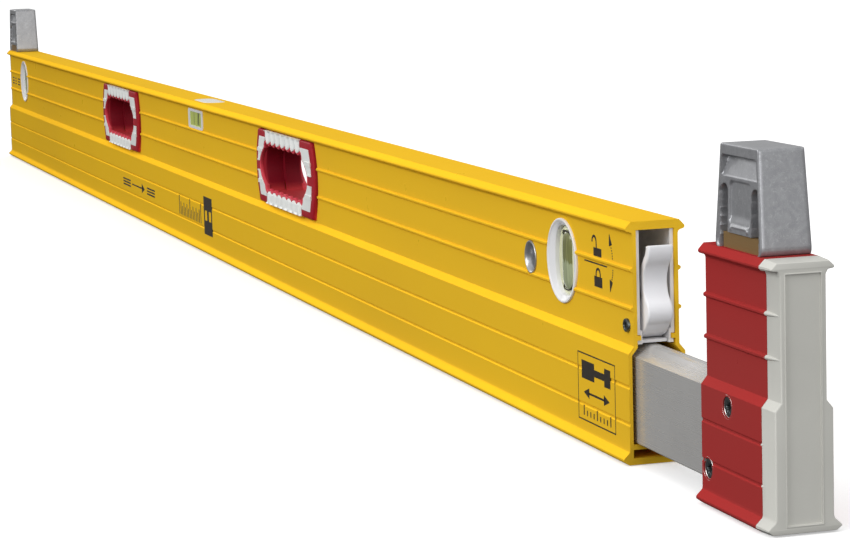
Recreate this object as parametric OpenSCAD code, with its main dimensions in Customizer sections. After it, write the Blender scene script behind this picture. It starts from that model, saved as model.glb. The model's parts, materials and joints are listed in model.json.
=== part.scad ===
// Extendable plate level: a long box-section frame with a rail that slides out of one end.
// X runs along the frame towards the sliding head, Z is up and -Y is the front.
// The origin is under the middle of the whole instrument, on the plane that it rests on.

/* [Section] */
// Height of the box section
section_h = 127; // [110:1:140]
// Half width across the top flanges
top_hw = 16.4; // [15.5:0.1:18]
// Half width of the upper walls
upper_hw = 12.6; // [12:0.1:13.4]
// Half width of the lower walls
lower_hw = 15.8; // [15:0.1:17]
// Half width across the base flanges
base_hw = 19.3; // [18.5:0.1:22]
// Thickness of the walls
wall_t = 2; // [1.6:0.1:2.2]
// Height of the shoulder where the lower wall steps in
shoulder_z = 58.3; // [57:0.1:59]
// Height of the grip rib nearer to the shoulder
lower_rib_z = 81.5; // [80:0.5:84]
// Height of the grip rib nearer to the top
upper_rib_z = 101.9; // [100:0.5:103]

/* [Lengths] */
// Length of the frame with its end cap
frame_len = 2050; // [1900:10:2200]
// Length of the sliding head without its cap
head_len = 71; // [68:1:80]
// Gap between the frame and the head as stored
rest_gap = 96; // [60:1:200]
// Length of the rail that is inside the frame when it is closed
rail_inside = 1864; // [1600:2:1880]
// Depth of the head cap
cap_len = 13; // [11:1:16]
// Travel of the head from closed to fully drawn out
travel = 1524; // [1200:2:1560]

/* [Grips] */
// Distance of each grip from the point midway between them
grip_offset = 321; // [300:1:400]
// Distance of that point from the middle of the frame, towards the end cap
grip_shift = 7; // [0:1:20]
// Length of a grip frame at its middle
grip_w = 175; // [170:1:190]
// Height of a grip frame
grip_h = 57; // [55:0.5:58]
// Length of the hand hole
hand_w = 134; // [128:1:140]
// Height of the hand hole
hand_h = 38; // [34:0.5:39]

/* [Vials] */
// Distance of each plumb vial from its end of the frame
plumb_inset = 105; // [95:1:140]
// Radius of a plumb vial housing's rim
plumb_r = 23.5; // [22.8:0.1:24.5]
// Height of the plumb vial centres
plumb_z = 95; // [94:0.5:96]
// Length of the centre vial window
window_w = 56; // [50:1:60]

/* [Lock] */
// Height of the lock lever's pivot
pivot_z = 72.3; // [72:0.1:73]
// Depth of the lock lever's pivot behind the frame's mouth
pivot_inset = 8.3; // [8:0.1:10]
// Width of the lock lever
lever_w = 13.8; // [12:0.1:13.8]

/* [Stand-offs] */
// Height of a stand-off above the top flange
standoff_h = 49.5; // [45:0.5:52]
// Length of a stand-off at its foot
standoff_l = 54; // [45:0.5:58]
// Width of a stand-off at its foot
standoff_w = 26.4; // [25:0.2:28]

/* [Hidden] */
$fn = 64;
eps = 0.01;

// Stations along X
total_len = frame_len + rest_gap + head_len + cap_len;
end_cap_t = 3;
frame_x0 = -total_len / 2;
beam_x0 = frame_x0 + end_cap_t;
mouth_x = frame_x0 + frame_len;
head_x0 = mouth_x + rest_gap;
head_x1 = head_x0 + head_len;
frame_mid = frame_x0 + frame_len / 2;
left_plumb_x = frame_x0 + plumb_inset;
right_plumb_x = mouth_x - plumb_inset;
hang_x = mouth_x - 158;
hang_z = 91;
hang_r = 6.5;

// Section details
base_t = 3.4;
web_z0 = 8;
web_z1 = 10.5;
roof_t = 4.4;
step_z = shoulder_z + lower_hw - upper_hw + 0.7;
inner_lower = lower_hw - wall_t;
inner_upper = upper_hw - wall_t;
inner_step_z0 = shoulder_z - 0.8;
inner_step_z1 = step_z - 0.8;
roof_z = section_h - roof_t;
lug_z0 = 65.2;
lug_z1 = 67.6;
lug_w = 2;
groove_d = 0.6;
rib_out = 1.4;
rib_half = 1.1;

// Rail details
rail_hw = 11.7;
rail_z0 = 10.8;
rail_edge_z = 56.4;
rail_crown_z = 62.2;
rail_wall = 2.2;
rail_x0 = mouth_x - rail_inside + rest_gap;
rail_x1 = head_x1 - 17;
shim_gap = inner_lower - rail_hw;
head_screw_spots = [[head_x0 + 31.5, 52], [head_x0 + 7.4, 17.9]];
head_screw_r = 3;
head_screw_seat = 5.1;

// Depth of the flat seats that are milled for the grips and the vial rims
seat_y = upper_hw - 0.1;
halves_gap = 0.05;

// Grip details
grip_mid = frame_mid - grip_shift;
grip_z = 92.2;
grip_proud = 3;
grip_corner = 9;
hand_corner = 12;
sleeve_t = 4;
insert_t = 1.4;

// Centre vial details
window_z0 = 103.2;
window_z1 = 120.2;
slot_hw = 9.5;
vial_r = 6.4;
vial_z = 111.5;
vial_bore = 4.9;
block_w = 44;

// Plumb vial details
plumb_body_r = 21.2;
plumb_rim_t = 1.2;
tube_r = 9.3;
tube_bore = 7.2;
tube_len = 35;

// Lock details
pivot_x = mouth_x - pivot_inset;
pin_r = 2.5;
running = 0.05;
lock_x0 = mouth_x - 52;
lock_x1 = mouth_x - 1.5;
shoe_z0 = 63.2;
shoe_t = 1.6;

// Stand-off details
fixed_standoff_x = frame_x0 + 4 + standoff_l / 2;
sliding_standoff_x = head_x1 - 31.5;
taper = 5.2;
clamp_h = 7.4;
clamp_w = 40.6;
bolt_pitch = 11;
bolt_r = 2.5;
bolt_head_r = 4.4;
bolt_head_h = 4;
bolt_up = 20;

// Carries an outline drawn in Y and Z along X, from x0 over a length
module along_x(x0, length) {
    translate([x0, 0, 0])
        rotate([90, 0, 90])
            linear_extrude(length)
                children();
}

// Carries an outline drawn in X and Z along Y, from y0 to y1
module along_y(y0, y1) {
    translate([0, y1, 0])
        rotate([90, 0, 0])
            linear_extrude(y1 - y0)
                children();
}

// A right half outline joined to its mirror image
function both_sides(half) =
    concat(half, [for (i = [len(half) - 1 : -1 : 0]) [-half[i][0], half[i][1]]]);

// Half outline of a shallow groove that runs along the lower wall
function groove(z) = [
    [lower_hw, z - 1.1], [lower_hw - groove_d, z - 0.5],
    [lower_hw - groove_d, z + 0.4], [lower_hw, z + 1.1]
];

// Half outline of a round-nosed rib that runs along the upper wall
function rib(z) = [
    [upper_hw, z - rib_half - 0.3], [upper_hw + rib_out - 0.4, z - rib_half + 0.2],
    [upper_hw + rib_out, z - rib_half + 0.6], [upper_hw + rib_out, z + rib_half - 0.6],
    [upper_hw + rib_out - 0.4, z + rib_half - 0.2], [upper_hw, z + rib_half + 0.3]
];

// Outer half outline of the section, from the base to the top, with its ribs or plain
function section_half(ribs) = concat(
    [[base_hw - 3, 0], [base_hw - 0.3, 1.9], [base_hw, 2.5], [base_hw, 3.3], [base_hw - 0.6, 4]],
    [[lower_hw + 0.9, 5.9], [lower_hw + 0.2, 6.8], [lower_hw, 7.8]],
    groove(21.4), groove(40.9),
    [[lower_hw, shoulder_z], [upper_hw, step_z]],
    ribs ? concat(rib(lower_rib_z), rib(upper_rib_z)) : [],
    [[upper_hw, section_h - 7], [upper_hw + 0.5, section_h - 5.8], [upper_hw + 1.7, section_h - 5.2]],
    [[top_hw - 0.7, section_h - 4.9], [top_hw, section_h - 4.2], [top_hw, section_h - 3.4]],
    [[top_hw - 0.4, section_h - 2.7], [top_hw - 3, section_h]]
);

// Hollow of the lower and upper chambers as one space, with the lugs between them
chamber_half = [
    [inner_lower, web_z1], [inner_lower, inner_step_z0], [inner_upper, inner_step_z1],
    [inner_upper, lug_z0], [inner_upper - lug_w, lug_z0],
    [inner_upper - lug_w, lug_z1], [inner_upper, lug_z1], [inner_upper, roof_z]
];

// The extruded section with all its hollows
module section_outline() {
    difference() {
        polygon(both_sides(section_half(true)));
        polygon(both_sides(chamber_half));
        translate([-inner_lower, base_t])
            square([2 * inner_lower, web_z0 - base_t]);
    }
}

// A rectangle with round corners, centred
module round_rect(w, h, r) {
    for (sx = [-1, 1])
        for (sy = [-1, 1])
            translate([sx * (w / 2 - r), sy * (h / 2 - r)])
                circle(r);
    square([w - 2 * r, h], center = true);
    square([w, h - 2 * r], center = true);
}

// A slot with round ends, standing upright
module upright_slot(w, h) {
    for (s = [-1, 1])
        translate([0, s * (h - w) / 2])
            circle(w / 2);
    square([w, h - w], center = true);
}

// Outline of a grip frame: flat top and bottom, with ends that bow outwards
module grip_outline(shrink) {
    bow_r = 62;
    w = grip_w - 2 * shrink;
    h = grip_h - 2 * shrink;
    intersection() {
        round_rect(w, h, grip_corner - shrink / 2);
        union() {
            square([w - 40, h + 2], center = true);
            for (s = [-1, 1])
                intersection() {
                    translate([s * (w / 2 - bow_r), 0])
                        circle(bow_r, $fn = 128);
                    translate([s * (w / 2 - 15), 0])
                        square([30, h + 2], center = true);
                }
        }
    }
}

// Hand hole in the beam's walls, and the space that the grip's flange covers
module grip_cut(x) {
    translate([x, 0, grip_z]) {
        along_y(-upper_hw - 5, upper_hw + 5)
            round_rect(hand_w + 2 * sleeve_t + 0.4, hand_h + 2 * sleeve_t + 0.4, hand_corner + 3);
        for (s = [-1, 1])
            along_y(s > 0 ? seat_y : -seat_y - 5, s > 0 ? seat_y + 5 : -seat_y)
                square([grip_w + 1, grip_h + 0.2], center = true);
    }
}

// Holes for the bolts of a stand-off
module bolt_holes(x, z0, z1, r) {
    for (s = [-1, 1])
        translate([x + s * bolt_pitch / 2, 0, z0])
            cylinder(h = z1 - z0, r = r);
}

module main_beam() {
    color([0.84, 0.66, 0.14])
        difference() {
            along_x(beam_x0, mouth_x - beam_x0)
                section_outline();
            for (s = [-1, 1])
                grip_cut(grip_mid + s * grip_offset);
            // Windows of the centre vial in both walls and in the roof
            translate([frame_mid, 0, (window_z0 + window_z1) / 2])
                along_y(-top_hw - 5, top_hw + 5)
                    round_rect(window_w, window_z1 - window_z0, 3);
            translate([frame_mid, 0, roof_z - 1])
                linear_extrude(roof_t + 2)
                    round_rect(window_w, 2 * slot_hw, slot_hw - eps);
            // Round seats of the plumb vials and of the hanging sleeves
            for (x = [left_plumb_x, right_plumb_x])
                translate([x, 0, plumb_z]) {
                    along_y(-lower_hw, lower_hw)
                        circle(plumb_body_r + 0.2);
                    for (s = [-1, 1])
                        along_y(s > 0 ? seat_y : -seat_y - 3, s > 0 ? seat_y + 3 : -seat_y)
                            circle(plumb_r + 0.3);
                }
            translate([hang_x, 0, hang_z]) {
                along_y(-lower_hw, lower_hw)
                    circle(hang_r + 1.6);
                for (s = [-1, 1])
                    along_y(s > 0 ? seat_y : -seat_y - 3, s > 0 ? seat_y + 3 : -seat_y)
                        circle(hang_r + 3.3);
            }
            // Holes for the pivot screws and for the stand-off's bolts
            translate([pivot_x, 0, pivot_z])
                along_y(-lower_hw, lower_hw)
                    circle(1.75);
            bolt_holes(fixed_standoff_x, roof_z - 1, section_h + 1, bolt_r + 0.1);
        }
}

module fixed_end_cap() {
    color([0.88, 0.87, 0.83]) {
        along_x(frame_x0, end_cap_t)
            polygon(both_sides(section_half(false)));
        along_x(beam_x0 - eps, 20)
            translate([-(inner_upper - 0.4), lug_z1 + 0.6])
                square([2 * (inner_upper - 0.4), 46]);
        along_x(beam_x0 - eps, 20)
            translate([-(inner_lower - 0.4), web_z1 + 0.4])
                square([2 * (inner_lower - 0.4), 44]);
    }
}

// Half of a two-part grip: the flange on one face and half of the lining of the hand hole
module grip_half(x, s) {
    y_in = s * seat_y;
    y_out = s * (upper_hw + grip_proud);
    y_pocket = s * (upper_hw + grip_proud - insert_t + 0.2);
    translate([x, 0, grip_z])
        difference() {
            union() {
                along_y(min(y_in, y_out), max(y_in, y_out))
                    grip_outline(0);
                along_y(min(s * halves_gap, y_in + s), max(s * halves_gap, y_in + s))
                    round_rect(hand_w + 2 * sleeve_t, hand_h + 2 * sleeve_t, hand_corner + 2.8);
            }
            along_y(-upper_hw - 8, upper_hw + 8)
                round_rect(hand_w, hand_h, hand_corner);
            along_y(min(y_pocket, y_out + s), max(y_pocket, y_out + s))
                insert_outline(0);
        }
}

// Outline of the ribbed inserts: a band round the hand hole, open at the two ends
module insert_outline(play) {
    difference() {
        grip_outline(4.6 + play);
        round_rect(hand_w + 1 + 2 * play, hand_h + 7 + 2 * play, hand_corner + 1);
        square([grip_w + 2, 15 + 2 * play], center = true);
    }
}

// Hard inserts of one grip, two on the front and two on the rear
module grip_inserts(x) {
    y0 = upper_hw + grip_proud - insert_t + 0.2;
    translate([x, 0, grip_z])
        for (s = [-1, 1])
            along_y(s > 0 ? y0 : -y0 - insert_t, s > 0 ? y0 + insert_t : -y0)
                insert_outline(0.05);
}

module left_grip_front() {
    color([0.6, 0.1, 0.14]) grip_half(grip_mid - grip_offset, -1);
}

module left_grip_rear() {
    color([0.6, 0.1, 0.14]) grip_half(grip_mid - grip_offset, 1);
}

module left_grip_inserts() {
    color([0.9, 0.9, 0.88]) grip_inserts(grip_mid - grip_offset);
}

module right_grip_front() {
    color([0.6, 0.1, 0.14]) grip_half(grip_mid + grip_offset, -1);
}

module right_grip_rear() {
    color([0.6, 0.1, 0.14]) grip_half(grip_mid + grip_offset, 1);
}

module right_grip_inserts() {
    color([0.9, 0.9, 0.88]) grip_inserts(grip_mid + grip_offset);
}

// White carrier that holds the centre vial in the three windows
module centre_vial_holder() {
    mid_z = (window_z0 + window_z1) / 2;
    color([0.93, 0.93, 0.9])
        difference() {
            union() {
                translate([frame_mid, 0, mid_z])
                    along_y(-upper_hw - 0.6, upper_hw + 0.6)
                        round_rect(window_w - 0.2, window_z1 - window_z0 - 0.2, 3);
                translate([frame_mid, 0, mid_z])
                    linear_extrude(section_h - 0.4 - mid_z)
                        round_rect(window_w - 0.2, 2 * slot_hw - 0.2, slot_hw - 0.2);
            }
            translate([frame_mid - block_w / 2, -upper_hw - 2, window_z0 + 2.4])
                cube([block_w, 2 * upper_hw + 4, window_z1 - window_z0 - 4.8]);
            translate([frame_mid, 0, vial_z])
                linear_extrude(section_h)
                    round_rect(block_w, 2 * vial_r, vial_r - eps);
        }
}

// Clear block that fills the carrier, bored lengthways for the liquid
module centre_vial_block() {
    color([0.75, 0.85, 0.3, 0.5])
        difference() {
            union() {
                translate([frame_mid - block_w / 2, -upper_hw, window_z0 + 2.4])
                    cube([block_w, 2 * upper_hw, window_z1 - window_z0 - 4.8]);
                translate([frame_mid, 0, vial_z])
                    linear_extrude(section_h - 1 - vial_z)
                        round_rect(block_w, 2 * vial_r, vial_r - eps);
            }
            translate([frame_mid - 18, 0, vial_z])
                rotate([0, 90, 0])
                    cylinder(h = 36, r = vial_bore);
        }
}

// Liquid of the centre vial, with the hollow of its bubble
module centre_vial_fluid() {
    color([0.7, 0.85, 0.25, 0.7])
        difference() {
            translate([frame_mid - 17.9, 0, vial_z])
                rotate([0, 90, 0])
                    cylinder(h = 35.8, r = vial_bore - 0.05);
            translate([frame_mid, 0, vial_z + vial_bore - 2.6])
                rotate([0, 90, 0])
                    translate([0, 0, -5])
                        cylinder(h = 10, r = 2.1);
        }
}

// Two equal halves of a plumb vial's round housing
module plumb_housing(x) {
    translate([x, 0, plumb_z])
        for (s = [-1, 1])
            difference() {
                union() {
                    along_y(s > 0 ? halves_gap : -upper_hw, s > 0 ? upper_hw : -halves_gap)
                        circle(plumb_body_r);
                    along_y(s > 0 ? seat_y : -upper_hw - plumb_rim_t,
                            s > 0 ? upper_hw + plumb_rim_t : -seat_y)
                        circle(plumb_r);
                }
                along_y(-lower_hw, lower_hw)
                    upright_slot(2 * tube_r + 2, tube_len + 2);
            }
}

// A round bar standing upright, whose two ends are rounded off as seen from the front
module upright_bar(r, len) {
    intersection() {
        translate([0, 0, -len / 2])
            cylinder(h = len, r = r);
        along_y(-r - 1, r + 1)
            upright_slot(2 * r, len);
    }
}

// Clear tube of a plumb vial, closed at both ends and held by two pairs of wings
module plumb_tube(x) {
    translate([x, 0, plumb_z])
        difference() {
            union() {
                upright_bar(tube_r, tube_len);
                for (s = [-1, 1])
                    translate([-tube_r - 1, -5, s * 6 - 1.5])
                        cube([2 * tube_r + 2, 10, 3]);
            }
            upright_bar(tube_bore, tube_len - 4.2);
        }
}

// Liquid of a plumb vial, short of the tube's top by its bubble
module plumb_fluid(x) {
    translate([x, 0, plumb_z])
        difference() {
            upright_bar(tube_bore - 0.05, tube_len - 4.3);
            translate([-tube_r, -tube_r, tube_len / 2 - 6])
                cube([2 * tube_r, 2 * tube_r, 10]);
        }
}

module left_plumb_housing() {
    color([0.92, 0.92, 0.92]) plumb_housing(left_plumb_x);
}

module left_plumb_tube() {
    color([0.8, 0.88, 0.6, 0.5]) plumb_tube(left_plumb_x);
}

module left_plumb_fluid() {
    color([0.7, 0.8, 0.3, 0.7]) plumb_fluid(left_plumb_x);
}

module right_plumb_housing() {
    color([0.92, 0.92, 0.92]) plumb_housing(right_plumb_x);
}

module right_plumb_tube() {
    color([0.8, 0.88, 0.6, 0.5]) plumb_tube(right_plumb_x);
}

module right_plumb_fluid() {
    color([0.7, 0.8, 0.3, 0.7]) plumb_fluid(right_plumb_x);
}

// Two equal flanged sleeves that line the hanging hole from either side
module hang_sleeves() {
    color([0.62, 0.63, 0.64])
        translate([hang_x, 0, hang_z])
            for (s = [-1, 1])
                rotate([s * 90, 0, 0])
                    difference() {
                        union() {
                            translate([0, 0, halves_gap])
                                cylinder(h = upper_hw + 0.3, r = hang_r + 1.5);
                            translate([0, 0, seat_y])
                                cylinder(h = 1.1, r = hang_r + 3);
                        }
                        translate([0, 0, -1])
                            cylinder(h = upper_hw + 4, r = hang_r);
                    }
}

// Half outline of the lock's channel, hooked round the lug on the wall
lock_half = [
    [inner_upper - 0.15, lug_z1 + 0.2], [inner_upper - 0.15, roof_z - 0.4],
    [lever_w / 2 + 1.6, roof_z - 0.4], [lever_w / 2 + 1.6, 70.5],
    [lever_w / 2 + 0.5, 69.8], [lever_w / 2 + 0.5, 62.9],
    [inner_upper - 0.7, 62.9], [inner_upper - 0.7, lug_z0 - 0.2],
    [inner_upper - lug_w - 0.15, lug_z0 - 0.2], [inner_upper - lug_w - 0.15, lug_z1 + 0.2]
];

// Plastic channel that fits into the mouth and carries the lever
module lock_housing() {
    color([0.78, 0.78, 0.78])
        difference() {
            union() {
                along_x(lock_x0, lock_x1 - lock_x0) {
                    polygon(lock_half);
                    mirror([1, 0])
                        polygon(lock_half);
                }
                along_x(lock_x0, 2.5)
                    translate([-(lever_w / 2 + 2), 68])
                        square([lever_w + 4, roof_z - 68.4]);
            }
            translate([pivot_x, 0, pivot_z])
                along_y(-upper_hw, upper_hw)
                    circle(pin_r);
        }
}

module lever_pin() {
    color([0.6, 0.6, 0.62])
        translate([pivot_x, 0, pivot_z])
            difference() {
                along_y(-inner_upper + 0.2, inner_upper - 0.2)
                    circle(pin_r);
                for (s = [-1, 1])
                    along_y(s > 0 ? 5 : -inner_upper, s > 0 ? inner_upper : -5)
                        circle(1.5);
            }
}

// A low round screw head with a six-sided socket, pointing outwards along the side s of Y
module side_screw(x, z, y0, s, shank_r, shank_l, head_r, head_h, key) {
    translate([x, s * y0, z])
        rotate([-s * 90, 0, 0])
            difference() {
                union() {
                    translate([0, 0, -shank_l])
                        cylinder(h = shank_l + eps, r = shank_r);
                    cylinder(h = head_h, r1 = head_r, r2 = head_r - 0.5);
                }
                translate([0, 0, head_h - 1.4])
                    cylinder(h = 3, r = key, $fn = 6);
            }
}

module pivot_screws() {
    color([0.12, 0.12, 0.13])
        for (s = [-1, 1])
            side_screw(pivot_x, pivot_z, upper_hw, s, 1.5, 6.5, 3.6, 1.7, 1.5);
}

// Strips between the rail and the lower walls: one pair just inside the mouth,
// and one deeper that stops the rail's glide at the end of its travel
module mouth_guides() {
    y0 = rail_hw + 0.25;
    stop_x = mouth_x - rail_inside + travel + 1;
    color([0.2, 0.2, 0.21])
        for (s = [-1, 1])
            for (x = [mouth_x - 60, stop_x])
                translate([x, s > 0 ? y0 : -inner_lower, web_z1 + 4])
                    cube([40, inner_lower - y0, 38]);
}

// Half outline of the rail's outside and of its hollow
rail_half = [
    [rail_hw - 0.8, rail_z0], [rail_hw, rail_z0 + 0.8], [rail_hw, rail_edge_z],
    [3.4, rail_crown_z - 0.5], [1.2, rail_crown_z]
];
rail_hollow_half = [
    [rail_hw - rail_wall, rail_z0 + rail_wall], [rail_hw - rail_wall, rail_edge_z - 0.8],
    [2.4, rail_crown_z - rail_wall - 0.8]
];

module extension_rail() {
    color([0.68, 0.67, 0.65])
        difference() {
            along_x(rail_x0, rail_x1 - rail_x0)
                difference() {
                    polygon(both_sides(rail_half));
                    polygon(both_sides(rail_hollow_half));
                }
            for (spot = head_screw_spots)
                translate([spot[0], 0, spot[1]])
                    along_y(-rail_hw - 1, rail_hw + 1)
                        circle(head_screw_r + 0.1);
        }
}

// Slide block that plugs the rail's inner end and runs in the lower chamber
module rail_glide() {
    color([0.2, 0.2, 0.21]) {
        along_x(rail_x0 - 24, 24)
            polygon(both_sides([
                [inner_lower - 0.3, rail_z0], [inner_lower - 0.3, inner_step_z0 - 0.6],
                [inner_upper - 0.3, inner_step_z1 - 0.6], [inner_upper - 0.3, rail_crown_z - 0.1]
            ]));
        along_x(rail_x0 - eps, 40)
            polygon(both_sides([
                [rail_hw - rail_wall - 0.1, rail_z0 + rail_wall + 0.1],
                [rail_hw - rail_wall - 0.1, rail_edge_z - 1.8],
                [2.2, rail_crown_z - rail_wall - 1]
            ]));
    }
}

module head_profile() {
    color([0.72, 0.1, 0.14])
        difference() {
            along_x(head_x0, head_len)
                section_outline();
            bolt_holes(sliding_standoff_x, roof_z - 1, section_h + 1, bolt_r + 0.1);
            for (spot = head_screw_spots)
                translate([spot[0], 0, spot[1]])
                    along_y(-lower_hw - 1, lower_hw + 1)
                        circle(head_screw_seat);
        }
}

// Outline of the head cap seen from above: the corners of its end are rounded off
module cap_plan(hw) {
    corner = 4;
    for (s = [-1, 1])
        translate([head_x1 + cap_len - corner, s * (hw - corner)])
            circle(corner);
    translate([head_x1, -hw])
        square([cap_len - corner, 2 * hw]);
    translate([head_x1, corner - hw])
        square([cap_len, 2 * (hw - corner)]);
}

module head_cap() {
    panel_hw = 8.7;
    stub_l = 9;
    color([0.88, 0.87, 0.82]) {
        difference() {
            union() {
                // Three storeys of the section, each rounded at its own width
                intersection() {
                    along_x(head_x1, cap_len)
                        polygon(both_sides(section_half(false)));
                    union() {
                        linear_extrude(8.5)
                            cap_plan(base_hw);
                        linear_extrude(section_h)
                            cap_plan(upper_hw);
                        linear_extrude(step_z)
                            cap_plan(lower_hw);
                        translate([0, 0, section_h - 7])
                            linear_extrude(7)
                                cap_plan(top_hw);
                    }
                }
                // Stubs that carry the ribs on and fade out towards the end
                for (z = [lower_rib_z, upper_rib_z])
                    translate([0, 0, z - rib_half])
                        linear_extrude(2 * rib_half)
                            polygon([
                                [head_x1, upper_hw + rib_out], [head_x1 + stub_l, upper_hw - 0.3],
                                [head_x1 + stub_l, 0.3 - upper_hw], [head_x1, -upper_hw - rib_out]
                            ]);
            }
            translate([head_x1 + cap_len - 0.8, -panel_hw, 4.2])
                cube([2, 2 * panel_hw, section_h - 4.2 - 5.4]);
        }
        along_x(head_x1 - 14, 14 + eps)
            translate([-(inner_upper - 0.3), lug_z1 + 0.5])
                square([2 * (inner_upper - 0.3), roof_z - bolt_head_h - 1.6 - lug_z1]);
        along_x(head_x1 - 14, 14 + eps)
            translate([-(inner_lower - 0.3), web_z1 + 0.4])
                square([2 * (inner_lower - 0.3), 45]);
    }
}

// Packers that fill the space between the rail and the head's lower walls
module head_shims() {
    color([0.25, 0.25, 0.26])
        difference() {
            for (s = [-1, 1])
                translate([head_x0 + 1, s > 0 ? rail_hw : -inner_lower, web_z1 + 1])
                    cube([50, shim_gap, 45]);
            for (spot = head_screw_spots)
                translate([spot[0], 0, spot[1]])
                    along_y(-lower_hw, lower_hw)
                        circle(head_screw_seat);
        }
}

// Threaded bar inside the rail that the head's screws pull on
module head_nut_bar() {
    bar_hw = rail_hw - rail_wall;
    color([0.7, 0.7, 0.72])
        difference() {
            translate([head_x0 + 1, -bar_hw, rail_z0 + rail_wall + 0.3])
                cube([46, 2 * bar_hw, 42.2]);
            for (spot = head_screw_spots)
                translate([spot[0], 0, spot[1]])
                    for (s = [-1, 1])
                        along_y(s > 0 ? 1.5 : -rail_hw, s > 0 ? rail_hw : -1.5)
                            circle(head_screw_r);
        }
}

module head_screws() {
    seat_y = rail_hw;
    color([0.25, 0.28, 0.28])
        for (spot = head_screw_spots)
            for (s = [-1, 1])
                side_screw(spot[0], spot[1], seat_y, s, head_screw_r, 9, 4.9, 3.6, 2.7);
}

// Side outline of a stand-off, in X and Z
module standoff_front() {
    foot = standoff_l / 2;
    polygon([
        [-foot + 1.2, 0], [-foot, 2.4], [-foot + taper, standoff_h - 0.8],
        [-foot + taper + 0.8, standoff_h], [foot - taper - 0.8, standoff_h],
        [foot - taper, standoff_h - 0.8], [foot, 2.4], [foot - 1.2, 0]
    ]);
}

// End outline of a stand-off, in Y and Z
module standoff_end() {
    foot = standoff_w / 2;
    lean = 1.2;
    polygon([
        [-foot + 0.6, 0], [-foot, 1], [-foot + lean, standoff_h - 0.8],
        [-foot + lean + 0.8, standoff_h], [foot - lean - 0.8, standoff_h],
        [foot - lean, standoff_h - 0.8], [foot, 1], [foot - 0.6, 0]
    ]);
}

// Cast stand-off: pocketed on both faces, with a tongue that stands on the clamp block
module standoff(x) {
    foot = standoff_w / 2;
    pocket_hw = 19.6;
    pocket_top = 40.5;
    tongue_hw = 12;
    translate([x, 0, section_h])
        difference() {
            intersection() {
                along_y(-foot, foot)
                    standoff_front();
                along_x(-standoff_l / 2, standoff_l)
                    standoff_end();
            }
            // Channel for the clamp block
            translate([-clamp_w / 2 - 0.2, -foot - 1, -1])
                cube([clamp_w + 0.4, standoff_w + 2, clamp_h + 1]);
            for (s = [-1, 1]) {
                // Shallow pocket over the whole face, and a slot on each side of the tongue
                translate([-pocket_hw, s > 0 ? foot - 5 : -foot - 3, clamp_h - eps])
                    cube([2 * pocket_hw, 8, pocket_top - clamp_h]);
                for (side = [-1, 1])
                    translate([side * (pocket_hw + tongue_hw) / 2, 0, 20])
                        along_y(s > 0 ? 2.5 : -foot - 3, s > 0 ? foot + 3 : -2.5)
                            upright_slot(pocket_hw - tongue_hw, 27.2);
            }
            bolt_holes(0, -1, clamp_h + 14, bolt_r);
        }
}

module clamp_block(x) {
    block_d = 22.4;
    translate([x, 0, section_h])
        difference() {
            translate([-clamp_w / 2, -block_d / 2, 0])
                cube([clamp_w, block_d, clamp_h]);
            bolt_holes(0, -1, clamp_h + 1, bolt_r);
        }
}

// Bolts of a stand-off, put in from inside the section's roof
module standoff_bolts(x) {
    for (s = [-1, 1])
        translate([x + s * bolt_pitch / 2, 0, roof_z]) {
            translate([0, 0, -bolt_head_h])
                difference() {
                    cylinder(h = bolt_head_h, r = bolt_head_r);
                    translate([0, 0, -1])
                        cylinder(h = 3.2, r = 2.3, $fn = 6);
                }
            translate([0, 0, -eps])
                cylinder(h = bolt_up, r = bolt_r);
        }
}

module fixed_standoff() {
    color([0.6, 0.6, 0.62]) standoff(fixed_standoff_x);
}

module fixed_clamp_block() {
    color([0.55, 0.44, 0.28]) clamp_block(fixed_standoff_x);
}

module fixed_standoff_screws() {
    color([0.35, 0.35, 0.36]) standoff_bolts(fixed_standoff_x);
}

module sliding_standoff() {
    color([0.6, 0.6, 0.62]) standoff(sliding_standoff_x);
}

module sliding_clamp_block() {
    color([0.55, 0.44, 0.28]) clamp_block(sliding_standoff_x);
}

module sliding_standoff_screws() {
    color([0.35, 0.35, 0.36]) standoff_bolts(sliding_standoff_x);
}

// S-shaped paddle whose foot is a cam round the pivot
module lock_lever() {
    color([0.93, 0.93, 0.95])
        difference() {
            translate([pivot_x, 0, pivot_z])
                along_y(-lever_w / 2, lever_w / 2)
                    union() {
                        lever_curve();
                        circle(7);
                        polygon([[0, -6.9], [5.2, -4.6], [8.2, -2], [11.2, 1.36], [9, 10], [-3, 6.2]]);
                    }
            translate([pivot_x, 0, pivot_z])
                along_y(-lever_w, lever_w)
                    circle(pin_r + running);
        }
}

// Points of an arc about a centre, from one angle to another
function arc(centre, r, from, to, steps) =
    [for (i = [0 : steps]) let (a = from + (to - from) * i / steps) centre + r * [cos(a), sin(a)]];

// Side view of the paddle: three arcs, tangent to each other, that swing out, in and out again
module lever_curve() {
    thick = 3.4;
    bend = 50;
    low_r = 7.2;
    mid_r = 13;
    top_r = 11.2;
    low_c = [7.6, 7.6];
    mid_c = low_c + (low_r + mid_r) * [cos(bend), sin(bend)];
    top_c = mid_c + (mid_r + top_r) * [-cos(bend), sin(bend)];
    polygon(concat(
        arc(low_c, low_r, -60, bend, 14),
        arc(mid_c, mid_r, 180 + bend, 180 - bend, 14),
        arc(top_c, top_r, -bend, 4, 8),
        arc(top_c, top_r - thick, 4, -bend, 8),
        arc(mid_c, mid_r + thick, 180 - bend, 205, 10),
        [[-3, 6.2]]
    ));
}

// Pad that the lever's cam presses down on the rail
module brake_shoe() {
    color([0.3, 0.3, 0.31])
        translate([pivot_x - 8, -lever_w / 2, shoe_z0])
            cube([13, lever_w, shoe_t]);
}

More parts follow.
